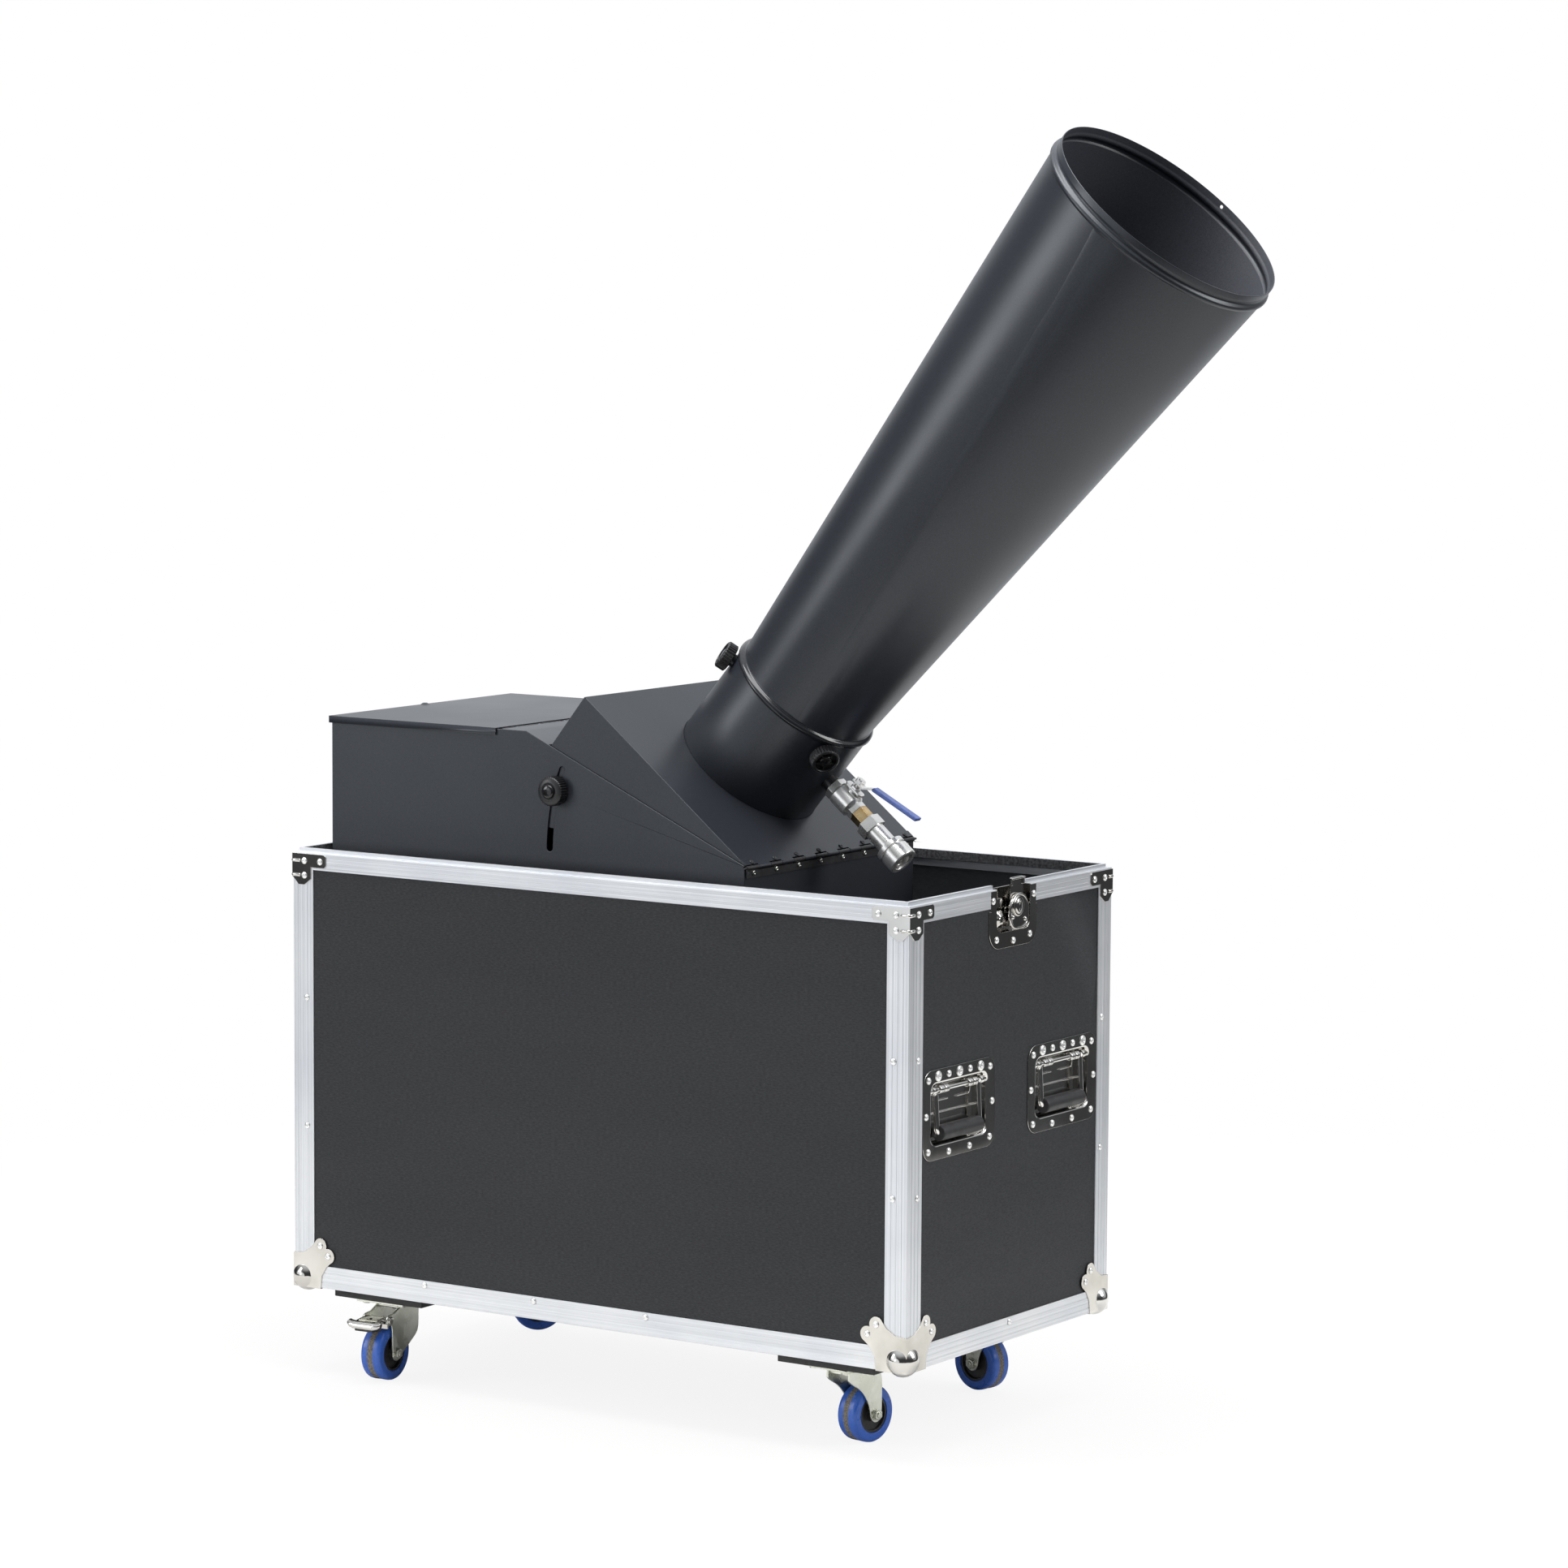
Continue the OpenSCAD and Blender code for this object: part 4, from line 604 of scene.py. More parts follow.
foam_face = grained_finish(
    "woven_foam", (0.050, 0.050, 0.053), (0.240, 0.240, 0.250), (0.75, 0.90), (0.9, 0.8), 260, 20)
carry_coated("foam_band", "case", "foam", "foam_liner", foam_face, 0.7)

# Handle and latch dishes
# Drawn chrome-plated steel pans let into the ends of the case and riveted round the flange.
# Each handle is a bent steel bail with a rubber grip, folded back by coil springs.

DISH_AT = [(end * 0.500, side * 0.1305, 0.449) for end in (1, -1) for side in (-1, 1)]
DISH_SIZE, MOUTH_SIZE = (177, 118), (143, 86)
PIVOT, GRIP_AT = (31.0, -5.0), (-25.0, -1.8)


def turn_by(degrees, axis):
    """A turn about one axis."""
    return Matrix.Rotation(math.radians(degrees), 4, axis)


def facing_out(x, y, z):
    """The place of a fitting on an end panel: its x runs along the panel, y up and z outwards."""
    end = math.copysign(1, x)
    return Matrix(((0, 0, end, x), (end, 0, 0, y), (0, 1, 0, z), (0, 0, 0, 1)))


def copy_to(piece, name, matrix):
    """A copy of a finished piece with its own mesh, set in its place."""
    twin = piece.copy()
    twin.data = piece.data.copy()
    twin.name = name
    bpy.context.scene.collection.objects.link(twin)
    return set_in_place(twin, matrix)


def scrap(*pieces):
    """Throws away shapes that were only there to be copied."""
    for piece in pieces:
        bpy.data.objects.remove(piece)


def thicken(piece, amount):
    """Gives a sheet its thickness, away from the side its faces look at."""
    modify(piece, "sheet_thickness", "SOLIDIFY", thickness=amount * MM, offset=-1)
    return piece


def draw_down(drop, x, y):
    """Extrudes what is selected by drop along Z and scales it about the Z axis."""
    bpy.ops.mesh.extrude_region_move(TRANSFORM_OT_translate={"value": (0, 0, drop * MM)})
    bpy.ops.transform.resize(value=(x, y, 1), center_override=(0, 0, 0))


def turned(name, stations, sides, ring=False):
    """A turned shape round Z from (height, radius) stations; a ring closes on its first one."""
    height, radius = stations[0]
    piece = basic(name, bpy.ops.mesh.primitive_circle_add, vertices=sides, radius=radius * MM,
                  fill_type="NOTHING" if ring else "NGON")
    edit_all(piece)
    bpy.ops.transform.translate(value=(0, 0, height * MM))
    for next_height, next_radius in stations[1:] + stations[:1] * ring:
        draw_down(next_height - height, next_radius / radius, next_radius / radius)
        height, radius = next_height, next_radius
    end_edit()
    return close_up(piece)


def rounded_plate(name, size, radius, height=0.0):
    """A flat sheet in the XY plane with rounded corners: a plane whose corners are bevelled."""
    piece = basic(name, bpy.ops.mesh.primitive_plane_add, size=1, location=(0, 0, height * MM))
    piece.scale = (size[0] * MM, size[1] * MM, 1)
    bpy.ops.object.transform_apply(location=True, rotation=True, scale=True)
    edit_all(piece)
    bpy.ops.mesh.bevel(offset=radius * MM, segments=8, affect="VERTICES", clamp_overlap=False)
    end_edit()
    return piece


flange = rounded_plate("handle_pan", DISH_SIZE, 20)
mouth = rounded_plate("pan_mouth", MOUTH_SIZE, 14)
pan = join_all(flange, mouth)
edit_all(pan)
bpy.ops.mesh.delete(type="ONLY_FACE")
bpy.ops.mesh.select_all(action="SELECT")
bpy.ops.mesh.bridge_edge_loops()
wide, high = MOUTH_SIZE
pick_edges(lambda m, d: abs(m.x) < (wide / 2 + 0.5) * MM and abs(m.y) < (high / 2 + 0.5) * MM)
for drop, inset in ((-0.3, 1.3), (-0.7, 1.1), (-1.1, 0.8), (-1.3, 0.4), (-6.6, 0.5), (-1.4, 0.6),
                    (-1.0, 1.4), (-0.4, 2.4)):
    draw_down(drop, (wide - 2 * inset) / wide, (high - 2 * inset) / high)
    wide, high = wide - 2 * inset, high - 2 * inset
bpy.ops.mesh.edge_face_add()
end_edit()
close_up(pan)
if sum(face.normal.z * face.area for face in pan.data.polygons) < 0:
    pan.data.flip_normals()
thicken(pan, PRESS_T)
soften(pan, 0.35, 2, 50)

PAN_FLOOR = -12.8
ridge = bent_wire("pan_ridge", [(-60, -1, PAN_FLOOR + 0.4), (60, -1, PAN_FLOOR + 0.4)], 1.6, 1)
strip = rounded_plate("spring_strip", (122, 13), 2, PAN_FLOOR + 1.8)
close_up(thicken(strip, 1.2))
set_in_place(strip, shift(0, 30, 0))
coils = []
for x in (-41, -29, 29, 41):
    turns = []
    for i in range(5):
        turns += [(-4.4 + 1.76 * i, 4.9), (-3.5 + 1.76 * i, 5.9)]
    coil = turned("spring_coil", [(-4.6, 4.3), *turns, (4.6, 4.9), (4.7, 4.3)], 20)
    coils.append(set_in_place(coil, shift(x, *PIVOT) @ turn_by(90, "Y")))
legs = [bent_wire("spring_leg", [(s * 41, 28, -9.6), (s * 41, 15, -11.2), (s * 12, 15, -11.2)],
                  1.1, 3, 4, 8) for s in (-1, 1)]
springs = join_all(ridge, strip, *coils, *legs)
soften(springs, 0)

rod = bent_wire("bail_wire", [(-68.6, *PIVOT), (-52, *PIVOT), (-52, *GRIP_AT), (52, *GRIP_AT),
                              (52, *PIVOT), (68.6, *PIVOT)], 3.9, 7.5)
axle = bent_wire("bail_axle", [(-51, *PIVOT), (51, *PIVOT)], 3.4, 1)
eyes = []
for s in (-1, 1):
    eye = turned("bail_eye", [(-3.6, 4.2), (-3.4, 5.4), (3.4, 5.4), (3.6, 4.2)], 24)
    eyes.append(set_in_place(eye, shift(s * 58, *PIVOT) @ turn_by(90, "Y")))
bail = join_all(rod, axle, *eyes)
soften(bail, 0)
grip = turned("bail_grip", [(-49, 5), (-49, 9.3), (-48.3, 10.1), (-46, 10.45), (-30, 10.3),
                            (0, 10.2), (30, 10.3), (46, 10.45), (48.3, 10.1), (49, 9.3), (49, 5)], 40)
set_in_place(grip, shift(0, *GRIP_AT) @ turn_by(90, "Y"))
soften(grip, 0)

rubber = grained_finish(
    "black_rubber_grip", (0.010, 0.010, 0.011), (0.020, 0.020, 0.022), (0.45, 0.60), (0.3, 0.2), 900,
    60)
for piece, finish in ((pan, chrome), (springs, chrome), (bail, chrome), (grip, rubber)):
    coat(piece, finish)
pans = []
for where in DISH_AT:
    spot = facing_out(*where)
    end, side = ("right", "left")[where[0] < 0], ("front", "back")[where[1] > 0]
    pans.append(copy_to(pan, f"handle_pan_{end}_{side}", spot))
    hand_over(copy_to(springs, f"handle_springs_{end}_{side}", spot), "case", "pressed_steel")
    body = f"handle_{end}_{side}"
    hand_over(copy_to(bail, f"bail_wire_{end}_{side}", spot), body, "bail_handle", body)
    hand_over(copy_to(grip, f"bail_grip_{end}_{side}", spot), body, "bail_handle")
scrap(pan, springs, bail, grip)
hand_over(join_all(*pans), "case", "pressed_steel", "handle_dishes")
carry_coated("latch_pans", "case", "pressed_steel", "latch_dishes", chrome, 0.5)

# Caster boards and plates
# Two painted plywood boards under the case, with a pressed zinc-plated top plate and
# ball race bolted under each corner.

board_paint = grained_finish(
    "painted_board", (0.010, 0.010, 0.011), (0.022, 0.022, 0.023), (0.55, 0.70), (0.4, 0.3), 200,
    12, stretch=(1, 0.15, 1))
carry_coated("caster_boards_painted", "case", "caster_board", "caster_boards", board_paint, 1.0)

zinc = grained_finish(
    "zinc_plate", (0.60, 0.61, 0.53), (0.78, 0.79, 0.72), (0.22, 0.36), (0.15, 0.15), 320, 35,
    metallic=1.0, tone_from="Patches")
carry_coated("caster_top_plates", "case", "caster_zinc", "caster_plates", zinc, 0.4)

# Housing
# Folded 2 mm sheet steel, spot-welded and powder-coated black with a fine orange peel. Inside
# lies the chute from hopper to head; the hinge leaves are screwed on.

powder_coat = grained_finish(
    "black_powder_coat", (0.016, 0.018, 0.023), (0.026, 0.029, 0.037), (0.31, 0.38),
    (0.35, 0.12), 520, 3.5, Specular_Tint=(0.92, 0.96, 1.0, 1.0), Specular_IOR_Level=0.58)
carry_coated("blower_housing", "case", "painted_housing", "housing", powder_coat, 0.9, 3)
carry_coated("hopper_chute_sheet", "case", "painted_housing", "hopper_chute", powder_coat, 0.4)

hinge_black = grained_finish(
    "blackened_hinge", (0.010, 0.010, 0.011), (0.028, 0.028, 0.030), (0.38, 0.50), (0.3, 0.1), 300,
    20)
for label, body, slot, source, finish, width in (
        ("lid_hinge_leaf", "case", "black_hinge", "lid_hinge", hinge_black, 0.2),
        ("head_hinge_lower_leaf", "case", "black_hinge", "lower_hinge_leaf", hinge_black, 0.2),
        ("head_hinge_upper_leaf", "head", "black_hinge", "upper_hinge_leaf", powder_coat, 0.2),
        ("lower_hinge_screws", "case", "rivet_steel", "lower_leaf_screws", zinc, 0),
        ("upper_hinge_screws", "head", "rivet_steel", "upper_leaf_screws", hinge_black, 0)):
    carry_coated(label, body, slot, source, finish, width)

# Hopper lid
# A folded sheet-steel lid with turned-down lips on three sides, powder-coated as the
# housing. It swings on a piano hinge across the top and has a small rubber stop.

lid = carry_over("hopper_lid_sheet", "lid", "painted_housing", "hopper_lid")
LID_BACK, LID_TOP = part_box("hopper_lid")[0][0], 0.911
STOP_X, STOP_WIDTH, STOP_HEIGHT = LID_BACK + 0.006, 0.45, 0.4
for corner in lid.data.vertices:
    # the CAD's stop is drawn in to a small low button
    x, y, z = corner.co
    if z > LID_TOP - 0.0005 and abs(y) < 0.010 and x < LID_BACK + 0.020:
        corner.co = (STOP_X + STOP_WIDTH * (x - STOP_X), STOP_WIDTH * y,
                     LID_TOP + STOP_HEIGHT * (z - LID_TOP))
round_long_edges(lid, lambda m, d: m.z > LID_TOP - 0.0005 and (
    abs(d.x) > 0.99 and abs(m.y) > 0.2 or abs(d.y) > 0.99 and m.x < LID_BACK + 0.001), 0.9)
soften(lid, 0)
coat(lid, powder_coat)

# Tilting head
# One folded sheet shell that nests over the housing, and a rolled collar welded to its
# slope. Both are powder-coated as the housing; the hinge's upper leaf is screwed to it.

carry_coated("tilting_head_sheet", "head", "painted_housing", "head_shell", powder_coat, 0.8, 3)
carry_coated("barrel_collar", "head", "painted_housing", "collar", powder_coat, 0.4)

# Barrel
# One rolled and welded sheet: a spigot that drops into the collar, a stop bead, the long
# cone with its lapped seam, and a rolled bead and plain lip at the mouth.

LEAN = shift(82.922, 0, 857.009) @ turn_by(40.3, "Y")
FOOT, BEAD, CONE, LIP, END = 96.6, 134.6, 144.6, 958.6, 983.6
CONE_R, SHEET = (100.6, 165.4), 1.5
HOLE_TURN, HOLE_Z = 95, 978
SEAM_FROM, SEAM_TO, SEAM_WIDTH = 146, 957.5, 26


def cone_radius(height):
    return CONE_R[0] + (CONE_R[1] - CONE_R[0]) * (height - CONE) / (LIP - CONE)


outside = [(FOOT, 101.5), (FOOT + 0.4, 101.7), (BEAD - 0.2, 101.7), (BEAD, 102.4),
           (BEAD + 0.5, 104.6), (BEAD + 1.6, 106.0), (BEAD + 3.4, 106.8), (BEAD + 5.4, 106.6),
           (BEAD + 7.2, 105.6), (BEAD + 8.6, 103.8), (BEAD + 9.4, 101.8), (CONE + 0.6, 100.7),
           (CONE + 2, 100.76)]
outside += [(CONE + (LIP - CONE) * i / 8, cone_radius(CONE + (LIP - CONE) * i / 8))
            for i in range(1, 8)]
outside += [(LIP, 165.4), (LIP + 0.9, 166.0), (LIP + 1.8, 167.2), (LIP + 3.4, 168.1),
            (LIP + 5.5, 168.3), (LIP + 7.4, 167.7), (LIP + 8.6, 166.2), (LIP + 9.6, 164.6),
            (LIP + 11, 163.7), (LIP + 12.6, 163.5), (LIP + 14.2, 163.7), (LIP + 15.6, 164.4),
            (LIP + 17, 164.7), (END - 0.8, 164.7), (END - 0.2, 164.5)]
inside = [(height, radius - SHEET) for height, radius in reversed(outside[1:-2])]
barrel = turned("barrel_sheet", outside + [(END, 164.0), (END - 0.3, 163.4)] + inside
                + [(FOOT, 100.4)], 192, ring=True)
drill = basic("hole_drill", bpy.ops.mesh.primitive_cylinder_add, vertices=24, radius=2.5 * MM,
              depth=12 * MM)
set_in_place(drill, turn_by(HOLE_TURN, "Z") @ shift(164.5, 0, HOLE_Z) @ turn_by(90, "Y"))
cut_away(barrel, drill)
SEAM = [(960, -89.5), (878, -86.4), (641, -79.8), (400, -71.8), (283, -67.1), (146, -60.8)]
lap = basic("barrel_lap_seam", bpy.ops.mesh.primitive_grid_add, x_subdivisions=60, y_subdivisions=4,
            size=1)
for corner in lap.data.vertices:
    height = SEAM_FROM + (SEAM_TO - SEAM_FROM) * (corner.co.x + 0.5)
    low = max(i for i in range(len(SEAM) - 1) if SEAM[i][0] >= height)
    (h1, a1), (h2, a2) = SEAM[low:low + 2]
    angle = a1 + (a2 - a1) * (height - h1) / (h2 - h1)
    across = corner.co.y + 0.5
    wander = 0.5 * math.sin(height * 0.031) + 0.3 * math.sin(height * 0.083)
    angle = math.radians(angle) + (across * SEAM_WIDTH + wander) / cone_radius(height)
    lift = (-0.4, 0.75, 0.5, 0.2, -0.15)[round(across * 4)]
    radius = (cone_radius(height) + lift) * MM
    corner.co = (radius * math.cos(angle), radius * math.sin(angle), height * MM)
for piece in (barrel, lap):
    close_up(piece)
if lap.data.polygons[0].normal.xy.dot(lap.data.polygons[0].center.xy) < 0:
    lap.data.flip_normals()
barrel = join_all(barrel, lap)
soften(barrel, 0)
# Painted light: a lighter copy of the black powder coat for the inside of the barrel, painted fill
# light in the shaded mouth.
mouth_painted_fill = grained_finish(
    "barrel_inside_painted_fill", (0.045, 0.048, 0.058), (0.070, 0.075, 0.090), (0.45, 0.55),
    (0.35, 0.12), 520, 3.5)
bead_gloss = grained_finish(
    "gloss_black_bead", (0.012, 0.013, 0.016), (0.020, 0.021, 0.025), (0.10, 0.18), (0.1, 0.05), 400,
    20)
coat(barrel, powder_coat, mouth_painted_fill, bead_gloss)
# faces inside the sheet take the lighter copy, painted fill light; the stop bead takes the gloss black
for face in barrel.data.polygons:
    height = face.center.z / MM
    if face.normal.xy.dot(face.center.xy) < 0 and face.center.xy.length < cone_radius(height) * MM:
        face.material_index = 1
    elif BEAD < height < CONE + 0.5:
        face.material_index = 2
set_in_place(barrel, LEAN)
hand_over(barrel, "barrel", "painted_housing", "barrel")

# Gas line
# A black steel pipe out of the head, a nickel-plated ball valve with a blue vinyl-dipped
# lever, a turned brass nipple and the steel quick coupler, all screwed together.

valve_nickel = grained_finish(
    "valve_nickel", (0.84, 0.83, 0.80), (0.95, 0.94, 0.92), (0.24, 0.36), (0.25, 0.15), 260, 40,
    metallic=0.8, tone_from="Patches")
brass = grained_finish(
    "brass_bar", (0.62, 0.42, 0.18), (0.82, 0.62, 0.34), (0.16, 0.28), (0.2, 0.1), 400, 60,
    metallic=1.0, tone_from="Patches")
for label, body, slot, source, metal, width in (
        ("gas_pipe_black", "head", "black_pipe", "gas_pipe", hinge_black, 0.4),
        ("ball_valve_body", "head", "valve_nickel", "valve_body", valve_nickel, 0.5),
        ("brass_nipple_hex", "head", "brass_fitting", "brass_nipple", brass, 0.5),
        ("coupler_barrel", "head", "coupler_steel", "coupler_body", valve_nickel, 0.4),
        ("coupler_slide_ring", "release_sleeve", "coupler_steel", "coupler_sleeve", valve_nickel, 0.5),
        ("valve_stem_nut", "gas_lever", "lever_steel", "valve_stem", valve_nickel, 0.3),
        ("valve_lever_strip", "gas_lever", "lever_steel", "valve_lever", valve_nickel, 0.4)):
    carry_coated(label, body, slot, source, metal, width)

lever_blue = grained_finish(
    "blue_dipped_vinyl", (0.10, 0.16, 0.50), (0.13, 0.21, 0.60), (0.28, 0.38), (0.1, 0.1), 200, 40)
grip = carry_over("lever_blue_sleeve", "gas_lever", "lever_grip", "lever_sleeve")
edit_all(grip)
bpy.ops.transform.shrink_fatten(value=0.9 * MM)
end_edit()
soften(grip, 1.6, 4)
coat(grip, lever_blue)

# Hand knobs
# Moulded black plastic on a steel screw, grooved round the rim for the fingers. The tilt
# knobs have a closed face, the collar knobs an open one with webs round the hub.

knob_black = grained_finish(
    "moulded_black_knob", (0.010, 0.010, 0.011), (0.020, 0.020, 0.022), (0.30, 0.42), (0.2, 0.1),
    500, 30)
knob_cap = grained_finish(
    "polished_knob_cap", (0.008, 0.008, 0.009), (0.012, 0.012, 0.013), (0.05, 0.10), (0.05, 0.1), 200,
    30)


def knurl(piece, radius, low, high, teeth):
    """Presses grooves into a knob's rim: every other pair of rim corners is drawn in."""
    work_on(piece)
    bpy.ops.object.mode_set(mode="EDIT")
    bpy.ops.mesh.select_mode(type="VERT")
    bpy.ops.mesh.select_all(action="DESELECT")
    shape = bmesh.from_edit_mesh(piece.data)
    for corner in shape.verts:
        turn = math.degrees(math.atan2(corner.co.y, corner.co.x)) % 360
        on_rim = abs(corner.co.xy.length - radius * MM) < 0.3 * MM
        groove = round(turn * teeth * 4 / 360) % 4 < 2
        corner.select_set(on_rim and groove and low * MM < corner.co.z < high * MM)
    shape.select_flush_mode()
    bmesh.update_edit_mesh(piece.data)
    inset = (radius - 1.3) / radius
    bpy.ops.transform.resize(value=(inset, inset, 1), center_override=(0, 0, 0))
    end_edit()


TILT_KNOB_AT, COLLAR_KNOB_AT = (-89.638, 207.3, 831.904), (108.3, 0, 119)
COLLAR_KNOB_TURNS = (332, 212, 92)
tilt_knob = turned("tilt_knob", [
    (-10.8, 3.4), (-10.4, 4.0), (0, 4.0), (0, 17.6), (0.6, 18.9), (1.4, 20.0), (13.6, 20.0),
    (14.8, 18.9), (15.6, 17.8), (16.6, 16.4), (17.6, 13.6), (18.0, 11.8), (17.4, 11.0), (16.8, 10.4),
    (16.8, 10.0), (17.6, 9.6), (19.6, 9.2), (20.8, 8.2), (21.5, 6.4), (21.9, 4.0), (22.0, 1.2)], 144)
knurl(tilt_knob, 20.0, 1.0, 14.0, 36)
collar_knob = turned("collar_knob", [
    (-6.3, 3.4), (-5.9, 4.0), (0, 4.0), (0, 17.4), (0.6, 18.6), (1.4, 19.5), (12.6, 19.5),
    (13.8, 18.5), (14.7, 17.2), (15.0, 16.0), (14.7, 15.2), (13.6, 14.8), (9.6, 14.4), (9.2, 13.6),
    (9.2, 9.6), (9.8, 9.0), (12.4, 8.6), (13.6, 7.6), (14.2, 5.6), (14.5, 3.4), (14.6, 1.0)], 120)
knurl(collar_knob, 19.5, 1.0, 13.0, 30)
webs = []
for i in range(5):
    web = basic("knob_web", bpy.ops.mesh.primitive_cube_add, size=1)
    edit_all(web)
    bpy.ops.transform.resize(value=(7 * MM, 2 * MM, 3.6 * MM))
    bpy.ops.mesh.bevel(offset=0.4 * MM, segments=2)
    end_edit()
    webs.append(set_in_place(web, turn_by(72 * i + 20, "Z") @ shift(11.7, 0, 10.8)))
collar_knob = join_all(collar_knob, *webs)
for knob in (tilt_knob, collar_knob):
    soften(knob, 0)
    coat(knob, knob_black, knob_cap)
face_on(tilt_knob, lambda m: m.xy.length < 9.9 * MM and m.z > 17 * MM)
face_on(collar_knob, lambda m: m.xy.length < 8.9 * MM and m.z > 9.5 * MM)
for side, sy in (("front", -1), ("back", 1)):
    x, y, z = TILT_KNOB_AT
    spot = shift(x, sy * y, z) @ turn_by(-sy * 90, "X")
    knob = copy_to(tilt_knob, f"tilt_knob_{side}_moulding", spot)
    hand_over(knob, f"tilt_knob_{side}", "knob", f"tilt_knob_{side}")
for letter, degrees in zip("abc", COLLAR_KNOB_TURNS):
    spot = LEAN @ turn_by(degrees, "Z") @ shift(*COLLAR_KNOB_AT) @ turn_by(90, "Y")
    knob = copy_to(collar_knob, f"collar_knob_{letter}_moulding", spot)
    hand_over(knob, f"collar_knob_{letter}", "knob", f"collar_knob_{letter}")
scrap(tilt_knob, collar_knob)

# Latches
# The open half of a recessed butterfly latch: a chromed hook plate drawn down by a round
# key plate on an eccentric post, beside a pressed rosette riveted into the dish.

KEY_AT, POCKET_FLOOR, HOOK_LIFT, HOOK_T = (11, -33), -12.8, 8.8, 2.0


def arc(x, y, radius, start, stop, steps=8):
    """Points along a circle, angles in degrees."""
    turns = [math.radians(start + (stop - start) * i / steps) for i in range(steps + 1)]
    return [(x + radius * math.cos(t), y + radius * math.sin(t)) for t in turns]


hook_face = slab("latch_hook", [(-15, 11), (-14, 11.8), (14, 11.8), (15, 11), (16, 9), (16, -14)]
                 + arc(0, -33, 12, 40, -220, 18) + [(-16, -14), (-16, 9)], HOOK_T)
runway = slab("hook_slot", arc(0, -33, 4.3, 180, 360) + arc(0, -21, 4.3, 0, 180), 2 * HOOK_T)
set_in_place(runway, shift(0, 0, -0.5 * HOOK_T))
cut_away(hook_face, close_up(runway))
lip = slab("latch_hook_lip", [(-16, 0), (16, 0), (16, 2), (-16, 2)], 6)
hook_side = [set_in_place(slab("latch_hook_side", [(-2, 0), (0, 0), (0, 10), (-2, 10)], 4.4),
                          shift(x, 1.2, 0)) for x in (-14, 16)]
set_in_place(lip, shift(0, 9, 0))
hook = join_all(hook_face, lip, *hook_side)
set_in_place(hook, shift(0, 0, POCKET_FLOOR + HOOK_LIFT))
soften(hook, 0.5, 2, 40)

key = turned("latch_key", [
    (0, 4), (0, 3.9), (0.2, 23.2), (1.2, 23.9), (2.8, 24), (4.2, 23.5), (4.8, 22.5), (4.6, 21.4),
    (3.9, 20.4), (3.5, 16), (3.4, 8), (3.6, 4)], 72)
for corner in key.data.vertices:
    # squarer below: the plate's two lower corners stand out past the circle
    turn = math.atan2(corner.co.y, corner.co.x)
    if corner.co.xy.length > 12 * MM and turn < 0:
        fuller = 1 + 0.13 * math.sin(2 * turn) ** 2
        corner.co.x, corner.co.y = corner.co.x * fuller, corner.co.y * fuller
boss = turned("latch_key_boss", [(-0.5, 13.6), (0.9, 13.4), (1.7, 12.4), (1.9, 11.2), (1.2, 10),
                                 (1.0, 6)], 56)
oval = turned("latch_key_knob", [(-0.5, 1), (1.2, 0.99), (2.2, 0.93), (2.9, 0.78), (3.2, 0.55),
                                 (3.25, 0.2)], 56)
oval.data.transform(Matrix.Diagonal((8.0, 10.6, 1, 1)))
slot = turned("latch_key_slot", [(1.9, 1), (3.9, 1)], 4)
slot.data.transform(turn_by(45, "Z"))
slot.data.transform(Matrix.Diagonal((1.4, 8.4, 1, 1)))
cut_away(oval, slot)
for piece in (boss, oval):
    set_in_place(piece, shift(-3, 6.5, 3.5))
post = turned("latch_key_post", [(-HOOK_LIFT - HOOK_T - 0.1, 3.9), (0.3, 3.9)], 24)
bumps = []
for x, y in ((-16, -7), (15, -12)):
    bump = turned("latch_key_bump", [(3.0, 3.2), (4.2, 2.9), (5.2, 1.8), (5.5, 0.4)], 24)
    bumps.append(set_in_place(bump, shift(x, y, 0)))
key = join_all(key, boss, oval, post, *bumps)
set_in_place(key, shift(0, 0, POCKET_FLOOR + HOOK_LIFT + HOOK_T + 0.45))
soften(key, 0)

rosette = turned("latch_rosette", [
    (0, 13), (5.2, 13), (6.8, 12.6), (7.6, 11.6), (8.4, 9.6), (10.0, 8.0), (11.2, 5.6), (11.6, 3.4),
    (11.7, 1)], 72)
for corner in rosette.data.vertices:
    turn = math.atan2(corner.co.y, corner.co.x)
    if corner.co.z > 1 * MM:
        petal = 1 - 0.10 * (0.5 - 0.5 * math.cos(6 * turn))
        corner.co.x, corner.co.y = corner.co.x * petal, corner.co.y * petal
clip = slab("latch_clip", [(-9, 0), (9, 0), (9, 10), (6, 13), (-6, 13), (-9, 10)], 6.4)
soften(clip, 0.8, 2, 40)
set_in_place(clip, shift(0, 14.5, 0))
rosette = join_all(rosette, clip)
set_in_place(rosette, shift(-27, -41, POCKET_FLOOR))
soften(rosette, 0)
for piece in (hook, key, rosette):
    coat(piece, chrome)
for name, end in (("right", 1), ("left", -1)):
    spot = Matrix(((0, 0, end, end * CASE_HALF[0]), (1, 0, 0, 0), (0, 1, 0, RIM_Z), (0, 0, 0, 1)))
    centre = spot @ shift(KEY_AT[0], 0, 0)
    hand_over(copy_to(hook, f"latch_hook_{name}_plate", centre), f"latch_hook_{name}",
              "latch_plate", f"latch_hook_{name}")
    turning = centre @ shift(0, KEY_AT[1], 0)
    hand_over(copy_to(key, f"latch_key_{name}_plate", turning), f"latch_key_{name}",
              "latch_plate", f"latch_key_{name}")
    hand_over(copy_to(rosette, f"latch_rosette_{name}", spot), "case", "pressed_steel")
scrap(hook, key, rosette)

# Casters
# Swivel casters: a zinc-plated pressed fork with its axle bolt and nuts, and a black nylon
# wheel with a blue elastic tread. The mould's seam is ground off round the tread.

